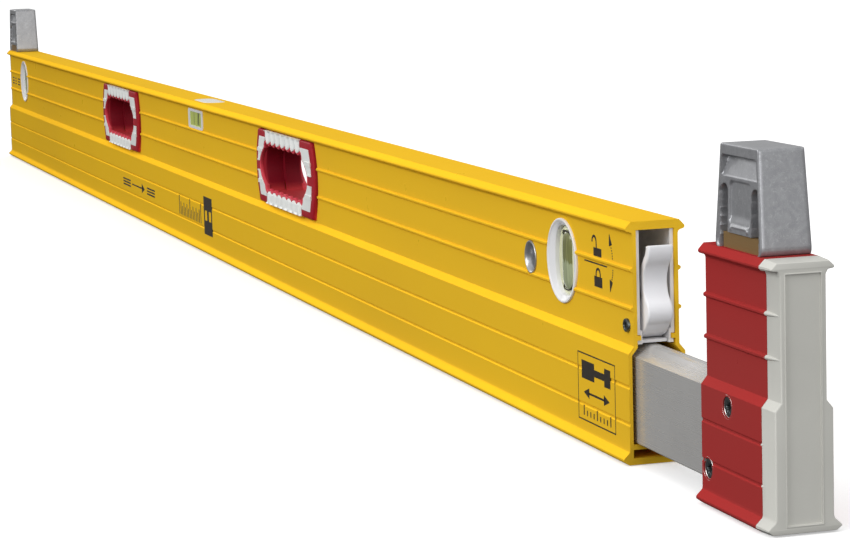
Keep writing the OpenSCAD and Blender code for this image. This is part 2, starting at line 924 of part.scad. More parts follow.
main_beam();
fixed_end_cap();
left_grip_front();
left_grip_rear();
left_grip_inserts();
right_grip_front();
right_grip_rear();
right_grip_inserts();
centre_vial_holder();
centre_vial_block();
centre_vial_fluid();
left_plumb_housing();
left_plumb_tube();
left_plumb_fluid();
right_plumb_housing();
right_plumb_tube();
right_plumb_fluid();
hang_sleeves();
lock_housing();
lever_pin();
pivot_screws();
mouth_guides();
fixed_standoff();
fixed_clamp_block();
fixed_standoff_screws();
lock_lever();
brake_shoe();
extension_rail();
rail_glide();
head_profile();
head_cap();
head_shims();
head_nut_bar();
head_screws();
sliding_standoff();
sliding_clamp_block();
sliding_standoff_screws();
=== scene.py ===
"""Dresses an extendable plate level: its finishes, its fine pieces, the studio and the camera.

Lengths are in millimetres until a Shell turns them into a mesh. X runs along the frame towards
the sliding head, Z is up and -Y is the front.
"""

from __future__ import annotations

import json
import logging
import math
from dataclasses import dataclass, field
from enum import Enum
from typing import Union

import bmesh
import bpy
import numpy as np
from mathutils import Matrix, Vector
from mathutils.geometry import tessellate_polygon

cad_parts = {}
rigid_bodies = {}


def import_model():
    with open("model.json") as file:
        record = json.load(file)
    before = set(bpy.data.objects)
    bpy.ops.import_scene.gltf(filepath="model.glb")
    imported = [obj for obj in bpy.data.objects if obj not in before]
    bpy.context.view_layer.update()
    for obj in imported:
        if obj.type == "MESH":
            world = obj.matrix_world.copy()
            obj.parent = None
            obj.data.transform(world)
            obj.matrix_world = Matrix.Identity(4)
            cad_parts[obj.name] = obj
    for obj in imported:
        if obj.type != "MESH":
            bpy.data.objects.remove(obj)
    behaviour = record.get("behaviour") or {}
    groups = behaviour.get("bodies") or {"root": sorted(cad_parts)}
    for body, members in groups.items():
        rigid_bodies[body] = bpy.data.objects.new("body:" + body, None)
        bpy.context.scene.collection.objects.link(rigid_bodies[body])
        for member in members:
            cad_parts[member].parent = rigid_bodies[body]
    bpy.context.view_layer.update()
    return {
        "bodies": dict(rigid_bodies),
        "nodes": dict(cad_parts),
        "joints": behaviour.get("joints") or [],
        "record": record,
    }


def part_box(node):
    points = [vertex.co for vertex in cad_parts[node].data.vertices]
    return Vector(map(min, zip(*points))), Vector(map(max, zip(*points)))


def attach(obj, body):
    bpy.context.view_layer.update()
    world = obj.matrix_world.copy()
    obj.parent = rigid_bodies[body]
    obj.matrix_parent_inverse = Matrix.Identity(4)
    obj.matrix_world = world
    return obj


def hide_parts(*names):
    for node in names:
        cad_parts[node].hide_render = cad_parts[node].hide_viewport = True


MM = 0.001
LOG = logging.getLogger("plate_level")
Array = np.ndarray


class Side(Enum):
    """The two long faces of the instrument."""

    FRONT = -1
    REAR = 1


# ---------------------------------------------------------------- shaders


class Wire:
    """One output of a shader node, on which Python's arithmetic adds Math nodes."""

    def __init__(self, graph: "Graph", socket: bpy.types.NodeSocket) -> None:
        """Keeps the graph and the socket."""
        self.graph = graph
        self.socket = socket

    def _math(self, operation: str, first: "Value", second: "Value") -> "Wire":
        """Adds one Math node on two values."""
        return self.graph.node("ShaderNodeMath", {0: first, 1: second}, operation=operation)

    def __add__(self, other: "Value") -> "Wire":
        """Sum."""
        return self._math("ADD", self, other)

    __radd__ = __add__

    def __mul__(self, other: "Value") -> "Wire":
        """Product."""
        return self._math("MULTIPLY", self, other)

    __rmul__ = __mul__

    def __sub__(self, other: "Value") -> "Wire":
        """Difference."""
        return self._math("SUBTRACT", self, other)

    def __rsub__(self, other: "Value") -> "Wire":
        """Difference, the other way round."""
        return self._math("SUBTRACT", other, self)

    def between(self, low: float, high: float) -> "Wire":
        """Zero below low, one above high, and a straight ramp between them."""
        return self.graph.node(
            "ShaderNodeMapRange", {"Value": self, "From Min": low, "From Max": high}, clamp=True
        )

    def blend(self, first: "Colour", second: "Colour") -> "Wire":
        """The first colour where this is zero, and the second where it is one."""
        return self.graph.node(
            "ShaderNodeMix", {0: self, 6: first, 7: second}, output=2, data_type="RGBA"
        )


Value = Union[Wire, float]
Colour = Union[Wire, tuple]


class Graph:
    """A material's nodes while they are put together."""

    def __init__(self, name: str, world: bool = False) -> None:
        """Starts an empty material of that name, or an empty sky.

        Args:
            name: The material's name.
            world: Make a sky in place of a material.
        """
        kind = bpy.data.worlds if world else bpy.data.materials
        self.material = kind.new(name)
        self.material.use_nodes = True
        self.tree = self.material.node_tree
        self.tree.nodes.clear()
        self.place = self.node("ShaderNodeTexCoord", {}, "Generated" if world else "Object")

    def node(
        self, kind: str, inputs: dict, output: Union[int, str] = 0, **settings: object
    ) -> Wire:
        """Adds any node.

        Args:
            kind: The node's type.
            inputs: Values or wires by socket name or number.
            output: The output that is wanted.
            **settings: The node's own settings, which are set first.

        Returns:
            That output, as a wire.
        """
        node = self.tree.nodes.new(kind)
        for key, setting in settings.items():
            setattr(node, key, setting)
        for key, value in inputs.items():
            socket = node.inputs[key]
            if isinstance(value, Wire):
                self.tree.links.new(value.socket, socket)
            elif isinstance(value, tuple) and len(value) == 3 and socket.type == "RGBA":
                socket.default_value = (*value, 1.0)
            else:
                socket.default_value = value
        return Wire(self, node.outputs[output]) if len(node.outputs) else Wire(self, None)

    def noise(self, scale: float, detail: float = 2.0, stretch: tuple = (1, 1, 1)) -> Wire:
        """Soft noise of a scale per metre, stretched along the axes."""
        at = self.node("ShaderNodeMapping", {"Vector": self.place, "Scale": stretch})
        return self.node("ShaderNodeTexNoise", {"Vector": at, "Scale": scale, "Detail": detail})

    def bump(self, height: Wire, depth_mm: float, strength: float = 1.0) -> Wire:
        """A normal that is tilted by a height."""
        return self.node(
            "ShaderNodeBump", {"Height": height, "Distance": depth_mm * MM, "Strength": strength}
        )

    def surface(self, **inputs: object) -> bpy.types.Material:
        """Ends the graph in a Principled surface, whose sockets are named with underscores.

        Args:
            **inputs: Values or wires of the surface's sockets.

        Returns:
            The finished material.
        """
        named = {key.replace("_", " "): value for key, value in inputs.items()}
        shader = self.node("ShaderNodeBsdfPrincipled", named)
        self.node("ShaderNodeOutputMaterial", {"Surface": shader})
        return self.material


@dataclass(frozen=True)
class Finish:
    """What every finish has: its slot in the record, and a material name of its own.

    The frame brings plain materials that are named after the slots, so a finish never uses one.
    """

    slot: str

    @property
    def label(self) -> str:
        """The name of the finish's own material."""
        return f"{self.slot}_finish"

    def build(self) -> bpy.types.Material:
        """Makes the material."""
        raise NotImplementedError

    def material(self) -> bpy.types.Material:
        """The finish's material, made once."""
        return bpy.data.materials.get(self.label) or self.build()


@dataclass(frozen=True)
class PowderCoat(Finish):
    """Sprayed and baked paint: a faint orange peel, cloudy gloss and a little dust."""

    colour: tuple = (0.8, 0.5, 0.02)
    deep: tuple = (0.7, 0.4, 0.02)
    roughness: float = 0.3
    peel_mm: float = 0.012
    metallic: float = 0.17

    def build(self) -> bpy.types.Material:
        """Makes the material.

        Returns:
            The material.
        """
        graph = Graph(self.label)
        cloud = graph.noise(9.0, 3.0, (0.35, 1, 1)).between(0.3, 0.72)
        speck = graph.noise(2600.0, 1.0).between(0.66, 0.8)
        colour = (cloud * 0.75 + speck * 0.22).blend(self.colour, self.deep)
        gloss = graph.noise(60.0, 4.0) * 0.12 + (self.roughness - 0.06)
        peel = graph.noise(900.0, 1.5)
        return graph.surface(
            Base_Color=colour,
            Roughness=gloss,
            Normal=graph.bump(peel, self.peel_mm),
            Metallic=self.metallic,
            Specular_IOR_Level=0.0,
            Specular_Tint=(*self.colour, 1.0),
        )


@dataclass(frozen=True)
class MouldedPlastic(Finish):
    """Injection-moulded plastic with a fine grain."""

    colour: tuple = (0.7, 0.7, 0.7)
    roughness: float = 0.45
    grain_mm: float = 0.01
    grain_scale: float = 1800.0
    gloss: float = 0.15

    def build(self) -> bpy.types.Material:
        """Makes the material.

        Returns:
            The material.
        """
        graph = Graph(self.label)
        shade = tuple(c * 0.9 for c in self.colour)
        cloud = graph.noise(28.0, 3.0).between(0.3, 0.7)
        grain = graph.noise(self.grain_scale, 2.0)
        return graph.surface(
            Base_Color=(cloud * 0.6 + grain * 0.3).blend(self.colour, shade),
            Roughness=grain * 0.16 + (self.roughness - 0.08),
            Normal=graph.bump(grain, self.grain_mm),
            Specular_IOR_Level=self.gloss,
        )


@dataclass(frozen=True)
class SoftRubber(Finish):
    """Soft moulded rubber, matt with a slight bloom, with painted light and shade in the hand hole's
    tunnel: painted shade up its walls and a painted pool of light on its floor.
    """

    colour: tuple = (0.36, 0.012, 0.022)
    bloom: tuple = (0.46, 0.04, 0.05)
    # inside is painted shade: the darker red of the tunnel's walls and roof, where little light
    # reaches.
    inside: tuple = (0.19, 0.005, 0.013)
    # floor is painted light: the brighter red where light from above falls on the tunnel's floor.
    floor: tuple = (0.85, 0.075, 0.075)
    floor_m: float = 0.0625

    def build(self) -> bpy.types.Material:
        """Makes the material.

        Returns:
            The material.
        """
        graph = Graph(self.label)
        bloom = graph.noise(40.0, 4.0).between(0.42, 0.75)
        pores = graph.noise(1500.0, 2.0)
        across = graph.node("ShaderNodeSeparateXYZ", {"Vector": graph.place}, output="Y")
        height = graph.node("ShaderNodeSeparateXYZ", {"Vector": graph.place}, output="Z")
        # Painted light and shade: inside the tunnel, near the middle plane, painted colours replace the
        # rubber's own colour.
        outside_painted_tunnel_shade = (across * across).between(0.0115**2, 0.0148**2)
        # The tunnel's colour is painted: a painted pool of light on its floor that turns to painted
        # shade higher up.
        painted_shade_above_floor = height.between(self.floor_m + 0.0015, self.floor_m + 0.017)
        lining = painted_shade_above_floor.blend(self.floor, self.inside)
        return graph.surface(
            Base_Color=outside_painted_tunnel_shade.blend(lining, (bloom * 0.6).blend(self.colour, self.bloom)),
            Roughness=pores * 0.18 + 0.4,
            Normal=graph.bump(pores, 0.015),
            Specular_IOR_Level=0.1,
        )


@dataclass(frozen=True)
class CastMetal(Finish):
    """Die-cast alloy as it leaves the mould: flow marks, blotches and small pits."""

    colour: tuple = (0.31, 0.315, 0.33)
    flow: tuple = (0.47, 0.475, 0.49)
    metallic: float = 0.5

    def build(self) -> bpy.types.Material:
        """Makes the material.

        Returns:
            The material.
        """
        graph = Graph(self.label)
        swirl = graph.node(
            "ShaderNodeTexNoise",
            {"Vector": graph.place, "Scale": 110.0, "Detail": 4.0, "Distortion": 1.6},
        ).between(0.38, 0.68)
        fleck = graph.noise(420.0, 3.0).between(0.5, 0.75)
        pits = graph.noise(1300.0, 2.0)
        marks = graph.node("ShaderNodeTexVoronoi", {"Vector": graph.place, "Scale": 260.0})
        winding = graph.node(
            "ShaderNodeTexNoise",
            {"Vector": graph.place, "Scale": 260.0, "Detail": 1.0, "Distortion": 1.8},
        )
        offset = (winding - 0.5) * (winding - 0.5)
        vein = 1 - offset.between(0.00002, 0.0003)
        height = pits * 0.6 + swirl * 0.5 + marks.between(0.0, 0.25) * 0.25 + vein * 0.3
        return graph.surface(
            Base_Color=(swirl * 0.3 + fleck * 0.2 + vein * 0.5).blend(self.colour, self.flow),
            Metallic=self.metallic,
            Roughness=pits * 0.14 + 0.27,
            Normal=graph.bump(height, 0.012),
            Specular_IOR_Level=0.4,
        )


@dataclass(frozen=True)
class DrawnMetal(Finish):
    """Metal with fine lines along one axis, such as an anodised, drawn or sawn surface."""

    colour: tuple = (0.5, 0.5, 0.5)
    metallic: float = 0.8
    roughness: float = 0.4
    lines: tuple = (0.02, 1, 1)
    line_scale: float = 900.0
    line_mm: float = 0.01

    def build(self) -> bpy.types.Material:
        """Makes the material.

        Returns:
            The material.
        """
        graph = Graph(self.label)
        shade = tuple(c * 0.78 for c in self.colour)
        lines = graph.noise(self.line_scale, 3.0, self.lines)
        cloud = graph.noise(35.0, 3.0).between(0.35, 0.7)
        return graph.surface(
            Base_Color=(lines * 0.5 + cloud * 0.3).blend(self.colour, shade),
            Metallic=self.metallic,
            Roughness=lines * 0.2 + (self.roughness - 0.1),
            Normal=graph.bump(lines, self.line_mm),
            Specular_IOR_Level=0.3,
        )


@dataclass(frozen=True)
class Glaze(Finish):
    """Clear acrylic seen as a thin glossy film, through which the piece behind shows."""

    colour: tuple = (0.93, 0.96, 0.84)
    cover: float = 0.2
    roughness: float = 0.06

    def build(self) -> bpy.types.Material:
        """Makes the material.

        Returns:
            The material.
        """
        graph = Graph(self.label)
        shade = tuple(c * 0.85 for c in self.colour)
        flow = graph.noise(160.0, 2.0).between(0.3, 0.7)
        return graph.surface(
            Base_Color=flow.blend(self.colour, shade),
            Roughness=flow * 0.03 + self.roughness,
            Alpha=flow * 0.08 + self.cover,
        )


@dataclass(frozen=True)
class Spirit(Finish):
    """An upright tube of tinted spirit: dark above an uneven level, pale below it."""

    above: tuple = (0.26, 0.27, 0.10)
    below: tuple = (0.44, 0.49, 0.29)
    level_m: float = 0.094

    def build(self) -> bpy.types.Material:
        """Makes the material.

        Returns:
            The material.
        """
        graph = Graph(self.label)
        height = graph.node("ShaderNodeSeparateXYZ", {"Vector": graph.place}, output="Z")
        edge = graph.noise(150.0, 2.0, (1.6, 1, 0.3)) * 0.016 - 0.008
        split = (height + edge).between(self.level_m - 0.0006, self.level_m + 0.0006)
        streak = graph.noise(900.0, 3.0, (1, 1, 0.06)).between(0.35, 0.7)
        tone = split.blend(self.below, self.above)
        deep = split.blend(tuple(c * 0.7 for c in self.below), tuple(c * 0.6 for c in self.above))
        return graph.surface(
            Base_Color=streak.blend(tone, deep),
            Roughness=streak * 0.1 + 0.08,
            Coat_Weight=0.6,
            Coat_Roughness=0.05,
        )


@dataclass(frozen=True)
class Ink(Finish):
    """Screen-printed ink: nearly black, with a patchy film."""

    colour: tuple = (0.02, 0.017, 0.015)
    thin: tuple = (0.09, 0.06, 0.02)

    def build(self) -> bpy.types.Material:
        """Makes the material.

        Returns:
            The material.
        """
        graph = Graph(self.label)
        patch = graph.noise(500.0, 4.0).between(0.45, 0.8)
        return graph.surface(
            Base_Color=(patch * 0.7).blend(self.colour, self.thin),
            Roughness=patch * 0.2 + 0.38,
        )


@dataclass(frozen=True)
class Finishes:
    """All finishes of the instrument, by the slot that each one fills."""

    yellow: Finish = PowderCoat("beam_yellow", (0.97, 0.59, 0.030), (0.88, 0.53, 0.034))
    red: Finish = PowderCoat("head_red", (0.44, 0.036, 0.036), (0.37, 0.052, 0.048), 0.3)
    ivory: Finish = MouldedPlastic("cap_ivory", (0.64, 0.636, 0.59), 0.5, 0.012, 1500.0)
    grip: Finish = SoftRubber("grip_red")
    # The lip's third colour is painted shade for its parts inside the tunnel, and its default floor
    # colour is painted light.
    lip: Finish = SoftRubber("grip_lip", (0.68, 0.06, 0.09), (0.76, 0.12, 0.14), (0.4, 0.02, 0.03))
    insert: Finish = MouldedPlastic("grip_white", (0.88, 0.90, 0.875), 0.38, 0.008)
    ring: Finish = MouldedPlastic("vial_white", (0.86, 0.86, 0.87), 0.25, 0.003)
    clear: Finish = Glaze("vial_clear", (0.78, 0.90, 0.20), 0.78)
    lens: Finish = MouldedPlastic("vial_lens", (0.97, 0.97, 0.90), 0.25, 0.002)
    well: Finish = MouldedPlastic("vial_well", (0.93, 0.94, 0.62), 0.2, 0.002)
    tube: Finish = Spirit("vial_spirit")
    fluid: Finish = MouldedPlastic("vial_fluid", (0.62, 0.80, 0.07), 0.12, 0.002)
    sleeve: Finish = DrawnMetal("sleeve_grey", (0.5, 0.51, 0.53), 0.7, 0.32, (1, 1, 1))
    lock: Finish = MouldedPlastic("lock_grey", (0.80, 0.79, 0.79), 0.42, 0.01)
    steel: Finish = DrawnMetal("pin_steel", (0.5, 0.5, 0.52), 0.9, 0.35)
    black: Finish = DrawnMetal("screw_black", (0.035, 0.035, 0.04), 0.6, 0.4, (1, 1, 1), 600.0)
    zinc: Finish = DrawnMetal("screw_grey", (0.13, 0.15, 0.15), 0.85, 0.34, (1, 1, 1), 500.0)
    glide: Finish = MouldedPlastic("glide_black", (0.045, 0.045, 0.05), 0.5)
    cast: Finish = CastMetal("cast_alloy")
    brass: Finish = DrawnMetal("clamp_brass", (0.30, 0.19, 0.075), 0.45, 0.5, (0.1, 1, 1), 500.0)
    lever: Finish = MouldedPlastic("lever_white", (0.90, 0.90, 0.93), 0.34, 0.004)
    rail: Finish = DrawnMetal("rail_silver", (0.65, 0.641, 0.627), 0.45, 0.26, (0.01, 1, 1), 700.0)
    ink: Finish = Ink("print_black")
    bare: Finish = DrawnMetal("bare_edge", (0.75, 0.74, 0.72), 0.9, 0.25, (1, 1, 1), 400.0)


# ---------------------------------------------------------------- shapes


def smooth_step(value: Array, low: float, high: float) -> Array:
    """Zero below low, one above high, and three t squared less two t cubed between them."""
    t = np.clip((value - low) / (high - low), 0.0, 1.0)
    return t * t * (3 - 2 * t)


def arc_points(centre: tuple, radius: float, start: float, end: float, count: int) -> Array:
    """Points at even angles, in degrees, on a circle."""
    angle = np.radians(np.linspace(start, end, count))
    return np.stack([centre[0] + radius * np.cos(angle), centre[1] + radius * np.sin(angle)], -1)


def even_loop(points: Array, step: float, soften: int = 0) -> Array:
    """A closed outline resampled at even steps.

    Args:
        points: Corners of the outline, in order.
        step: The wanted spacing.
        soften: How many times each point moves to the mean of itself and its neighbours.

    Returns:
        The new points, without a repeat of the first one.
    """
    closed = np.vstack([points, points[:1]])
    run = np.concatenate([[0], np.cumsum(np.linalg.norm(np.diff(closed, axis=0), axis=1))])
    at = np.linspace(0, run[-1], max(8, int(run[-1] / step)), endpoint=False)
    loop = np.stack([np.interp(at, run, closed[:, k]) for k in (0, 1)], -1)
    for _ in range(soften):
        loop = (np.roll(loop, 1, 0) + 2 * loop + np.roll(loop, -1, 0)) / 4
    return loop


def outward(loop: Array) -> Array:
    """Unit normals of a closed outline, pointing out of it.

    Args:
        loop: The outline's points, in order.

    Returns:
        One normal for each point.
    """
    along = np.roll(loop, -1, 0) - np.roll(loop, 1, 0)
    along /= np.linalg.norm(along, axis=1, keepdims=True) + 1e-12
    normal = np.stack([along[:, 1], -along[:, 0]], -1)
    area = np.sum(loop[:, 0] * np.roll(loop[:, 1], -1) - loop[:, 1] * np.roll(loop[:, 0], -1))
    return normal if area > 0 else -normal


def mitred(corners: Array, pull: Union[Array, float]) -> Array:
    """Draws the corners of a polygon inwards.

    Args:
        corners: Corners in order, anticlockwise.
        pull: How far the edges at each corner move in, or one distance for all.

    Returns:
        Each corner moved along the bisector of its edges' normals, by pull over the cosine of
        half their turn.
    """
    along = np.roll(corners, -1, 0) - corners
    along /= np.linalg.norm(along, axis=1, keepdims=True)
    normal = np.stack([along[:, 1], -along[:, 0]], -1)
    before = np.roll(normal, 1, 0)
    spread = (normal + before) / (1 + np.sum(normal * before, axis=1, keepdims=True))
    return corners - spread * np.broadcast_to(pull, len(corners))[:, None]


def lathe(x: float, z: float, profile: Array, side: Side, count: int = 56) -> Array:
    """Rings of an axis along Y.

    Args:
        x: Where the axis is.
        z: Where the axis is.
        profile: Radius and distance from the middle plane, ring by ring.
        side: The face of the instrument that it lies on.
        count: Points in a ring.

    Returns:
        Rings by points by three.
    """
    angle = np.linspace(0, 2 * np.pi, count, endpoint=False)
    circle = np.stack([np.cos(angle), np.sin(angle)], -1)
    flat = profile[:, None, :1] * circle[None] + [x, z]
    return lift(flat, np.broadcast_to(profile[:, 1:], flat.shape[:2]), side)


def lift(flat: Array, depth: Union[Array, float], side: Side) -> Array:
    """Places X and Z points at a distance out from the middle plane, on the side wanted."""
    depth = np.broadcast_to(depth, flat.shape[:-1])
    return np.stack([flat[..., 0], side.value * depth, flat[..., 1]], -1)


def bar_grid(x0: float, z0: float, x1: float, z1: float) -> Array:
    """The four corners of an upright rectangle, as a two by two grid."""
    return np.array([[[x0, z0], [x1, z0]], [[x0, z1], [x1, z1]]], dtype=float)


def ring_grid(cx: float, cz: float, r0: float, r1: float, a0: float, a1: float) -> Array:
    """A part of a ring between two radii and two angles, as a grid of two rows."""
    count = max(4, int(abs(a1 - a0) / 10) + 1)
    return np.stack([arc_points((cx, cz), r, a0, a1, count) for r in (r0, r1)])


class Shell:
    """Collects grids of points and turns them into one mesh object."""

    def __init__(self) -> None:
        """Starts with nothing."""
        self.points: list = []
        self.faces: list = []
        self.count = 0

    def _take(self, points: Array, faces: Array) -> None:
        """Keeps points and the faces that number them from zero.

        Args:
            points: Any grid of points.
            faces: Rows of corner numbers.
        """
        self.points.append(points.reshape(-1, 3))
        self.faces.append(faces + self.count)
        self.count += points.reshape(-1, 3).shape[0]

    def grid(self, points: Array, wrap_rows: bool = False, wrap_cols: bool = False) -> "Shell":
        """Adds a surface through a grid of points.

        Args:
            points: Rows by columns by three.
            wrap_rows: Join the last row to the first.
            wrap_cols: Join the last column to the first.

        Returns:
            This shell.
        """
        rows, cols = points.shape[:2]
        index = np.arange(rows * cols).reshape(rows, cols)
        if wrap_rows:
            index = np.vstack([index, index[:1]])
        if wrap_cols:
            index = np.hstack([index, index[:, :1]])
        quads = np.stack(
            [index[:-1, :-1], index[:-1, 1:], index[1:, 1:], index[1:, :-1]], axis=-1
        )
        self._take(points, quads.reshape(-1, 4))
        return self

    def cap(self, *loops: Array) -> "Shell":
        """Fills a flat loop, concave or not, with triangles; further loops are holes in it.

        Args:
            *loops: The outline, and then its holes.

        Returns:
            This shell.
        """
        triangles = tessellate_polygon([[Vector(p) for p in loop] for loop in loops])
        self._take(np.concatenate(loops), np.array(triangles))
        return self

    def join(self, other: "Shell") -> "Shell":
        """Adds everything that another shell holds.

        Args:
            other: The shell whose surfaces are added.

        Returns:
            This shell.
        """
        for faces in other.faces:
            self.faces.append(faces + self.count)
        self.points += other.points
        self.count += other.count
        return self

    def plate(self, flat: Array, outer: Array, inner: Array, side: Side) -> "Shell":
        """Adds a thin closed plate over a grid of X and Z points.

        Args:
            flat: Rows by columns by two.
            outer: Distance of its face from the middle plane.
            inner: Distance of its back from the middle plane.
            side: The face of the instrument that it lies on.

        Returns:
            This shell.
        """
        front = lift(flat, outer, side)
        back = lift(flat, inner, side)
        self.grid(front)
        self.grid(back[::-1])
        rim = [
            np.concatenate([g[0], g[1:, -1], g[-1, -2::-1], g[-2:0:-1, 0]]) for g in (front, back)
        ]
        return self.grid(np.stack(rim), wrap_cols=True)

    def build(self, name: str, crease: float = 35.0) -> bpy.types.Object:
        """Makes the object: points closer than a micron merge, and faces are turned outwards.

        Args:
            name: The piece's name.
            crease: Edges that turn by more than this angle, in degrees, stay sharp.

        Returns:
            The object, whose mesh is in metres.
        """
        points = np.concatenate(self.points) * MM
        corners = np.concatenate([faces.ravel() for faces in self.faces]).astype(np.int32)
        sizes = np.concatenate([np.full(len(f), f.shape[1]) for f in self.faces])
        starts = np.concatenate([[0], np.cumsum(sizes)[:-1]]).astype(np.int32)
        mesh = bpy.data.meshes.new(name)
        mesh.vertices.add(len(points))
        mesh.vertices.foreach_set("co", points.astype(np.float32).ravel())
        mesh.loops.add(len(corners))
        mesh.loops.foreach_set("vertex_index", corners)
        mesh.polygons.add(len(sizes))
        mesh.polygons.foreach_set("loop_start", starts)
        mesh.update(calc_edges=True)
        work = bmesh.new()
        work.from_mesh(mesh)
        bmesh.ops.remove_doubles(work, verts=work.verts, dist=1e-6)
        bmesh.ops.dissolve_degenerate(work, edges=work.edges, dist=1e-7)
        bmesh.ops.recalc_face_normals(work, faces=work.faces)
        work.to_mesh(mesh)
        work.free()
        mesh.polygons.foreach_set("use_smooth", np.ones(len(mesh.polygons), dtype=bool))
        mesh.set_sharp_from_angle(angle=math.radians(crease))
        piece = bpy.data.objects.new(name, mesh)
        bpy.context.scene.collection.objects.link(piece)
        return piece


def place_piece(
    piece: bpy.types.Object, body: str, finish: Finish, stands_for: tuple = ()
) -> None:
    """Gives a new piece its finish and its body, and hides the nodes that it stands for.

    Args:
        piece: The object.
        body: The CAD body that it moves with.
        finish: Its finish.
        stands_for: CAD nodes that it replaces.
    """
    piece.data.materials.append(finish.material())
    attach(piece, body)
    if stands_for:
        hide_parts(*stands_for)
    LOG.info("%s: %d faces on %s", piece.name, len(piece.data.polygons), body)


@dataclass
class NodeBox:
    """Where a CAD node is at rest, in millimetres."""

    node: str
    low: Array = field(init=False)
    high: Array = field(init=False)

    def __post_init__(self) -> None:
        """Reads the box."""
        low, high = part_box(self.node)
        self.low, self.high = np.array(low) / MM, np.array(high) / MM

    @property
    def centre(self) -> Array:
        """Its middle."""
        return (self.low + self.high) / 2


# ---------------------------------------------------------------- sub-assemblies


@dataclass
class Grip:
    """One hand grip: soft halves that line the hand hole, their lips, and hard white inserts."""

    prefix: str
    finishes: Finishes
    wall: float = 12.6
    proud: float = 3.0
    outer_w: float = 162.0
    outer_h: float = 57.0
    outer_bow: float = 6.3
    hole_w: float = 112.0
    hole_h: float = 37.0
    hole_bow: float = 14.6
    hole_shift: float = -3.0
    corner: float = 4.0
    teeth: int = 7
    strip_w: float = 104.0
    tooth_h: float = 2.2
    lip_w: float = 1.9

    def __post_init__(self) -> None:
        """Finds the middle of the grip."""
        box = NodeBox(f"{self.prefix}_grip_front")
        self.x, self.z = box.centre[0], box.centre[2]

    def barrel(self, w: float, h: float, bow: float, corner: float) -> Array:
        """Closed outline with a flat top and bottom and ends that swell by bow.

        Every call gives the same number of points, part by part, so outlines can be joined. The
        end at a share s of its half height stands out by bow times one less s squared.

        Args:
            w: Width between the ends of the top.
            h: Height.
            bow: How far the ends swell.
            corner: Radius of the corners.

        Returns:
            Points by two.
        """
        hw, hh = w / 2, h / 2
        top = np.stack([np.linspace(corner - hw, hw - corner, 169), np.full(169, hh)], -1)
        bend = arc_points((hw - corner, hh - corner), corner, 90, 0, 8)
        s = np.linspace(1, -1, 34)[1:-1]
        swell = np.stack([hw + bow * (1 - s**2), s * (hh - corner)], -1)
        right = np.vstack([bend, swell, bend[::-1] * [1, -1]])
        return np.vstack([top[:-1], right, (top * [1, -1])[::-1][1:-1], (right * [-1, 1])[::-1]])

    def tooth(self, x: Array) -> Array:
        """Height from 0 to 1 of a row of leaning teeth, which ends at the strip's ends.

        Args:
            x: Distance from the middle of the grip.

        Returns:
            The height: it rises over two thirds of each tooth and falls over the rest.
        """
        phase = ((x + self.strip_w / 2) / (self.strip_w / self.teeth)) % 1.0
        saw = np.where(phase < 0.66, phase / 0.66, (1 - phase) / 0.34)
        return saw * (np.abs(x) < self.strip_w / 2)

    def hole(self, grow: float, bite: float) -> Array:
        """Outline of the hand hole, grown outwards, with teeth that bite into it.

        Args:
            grow: How far the outline is grown.
            bite: Height of the teeth.

        Returns:
            Points by two, about the middle of the grip.
        """
        corner = max(self.corner + grow, 1.0)
        loop = self.barrel(self.hole_w + 2 * grow, self.hole_h + 2 * grow, self.hole_bow, corner)
        flat = np.abs(loop[:, 1]) > self.hole_h / 2 + grow - 0.01
        loop[:, 1] -= np.sign(loop[:, 1]) * flat * bite * self.tooth(loop[:, 0])
        loop[:, 0] += self.hole_shift
        return loop

    def rings(self, steps: list, side: Side) -> Array:
        """Places outlines at their depths."""
        turn = [-side.value, 1]
        return np.stack([lift(loop * turn + [self.x, self.z], d, side) for loop, d in steps])

    def half(self, side: Side) -> Shell:
        """The soft frame of one face with its half of the hole's lining.

        Outlines run from the middle of the hole out behind the lip, across the face and round
        the outer edge to the wall. The lining is straighter at its ends than the lip is.

        Args:
            side: The face wanted.

        Returns:
            The closed shell.
        """
        face = self.wall + self.proud

        def rim(shrink: float) -> Array:
            """Outer outline, drawn in by shrink."""
            w, h = self.outer_w - 2 * shrink, self.outer_h - 2 * shrink
            return self.barrel(w, h, self.outer_bow, 3.2)

        def lining(bow: float) -> Array:
            """Outline of the lining with ends that swell by bow."""
            loop = self.barrel(self.hole_w + 1, self.hole_h + 1, bow, 4.5)
            return loop + [self.hole_shift, 0]

        steps = [
            (lining(4.5), 0.05),
            (lining(4.8), 4.5),
            (lining(5.4), 9.0),
            (lining(6.2), 12.75),
            (self.hole(0.6, 0), 13.5),
            (self.hole(0.6, 0), face - 0.8),
            (self.hole(1.2, 0), face - 0.1),
            (rim(1.5), face),
            (rim(0.6), face - 0.25),
            (rim(0.1), face - 0.9),
            (rim(0), face - 1.6),
            (rim(0), self.wall - 0.05),
            (self.hole(4.0, 0), self.wall - 0.05),
            (self.hole(4.0, 0), 0.05),
        ]
        return Shell().grid(self.rings(steps, side), wrap_rows=True, wrap_cols=True)

    def lip(self, side: Side) -> Shell:
        """The paler toothed lip round the hole of one face.

        Args:
            side: The face wanted.

        Returns:
            The closed shell.
        """
        face, bite = self.wall + self.proud, self.tooth_h
        steps = [
            (self.hole(0.8, 0), 12.0),
            (self.hole(0.0, bite * 0.4), 12.4),
            (self.hole(-0.1, bite), 13.2),
            (self.hole(-0.1, bite), face - 0.4),
            (self.hole(0.3, bite), face + 0.15),
            (self.hole(self.lip_w - 0.5, bite), face + 0.2),
            (self.hole(self.lip_w, bite), face - 0.3),
            (self.hole(self.lip_w, 0), 12.0),
        ]
        return Shell().grid(self.rings(steps, side), wrap_rows=True, wrap_cols=True)

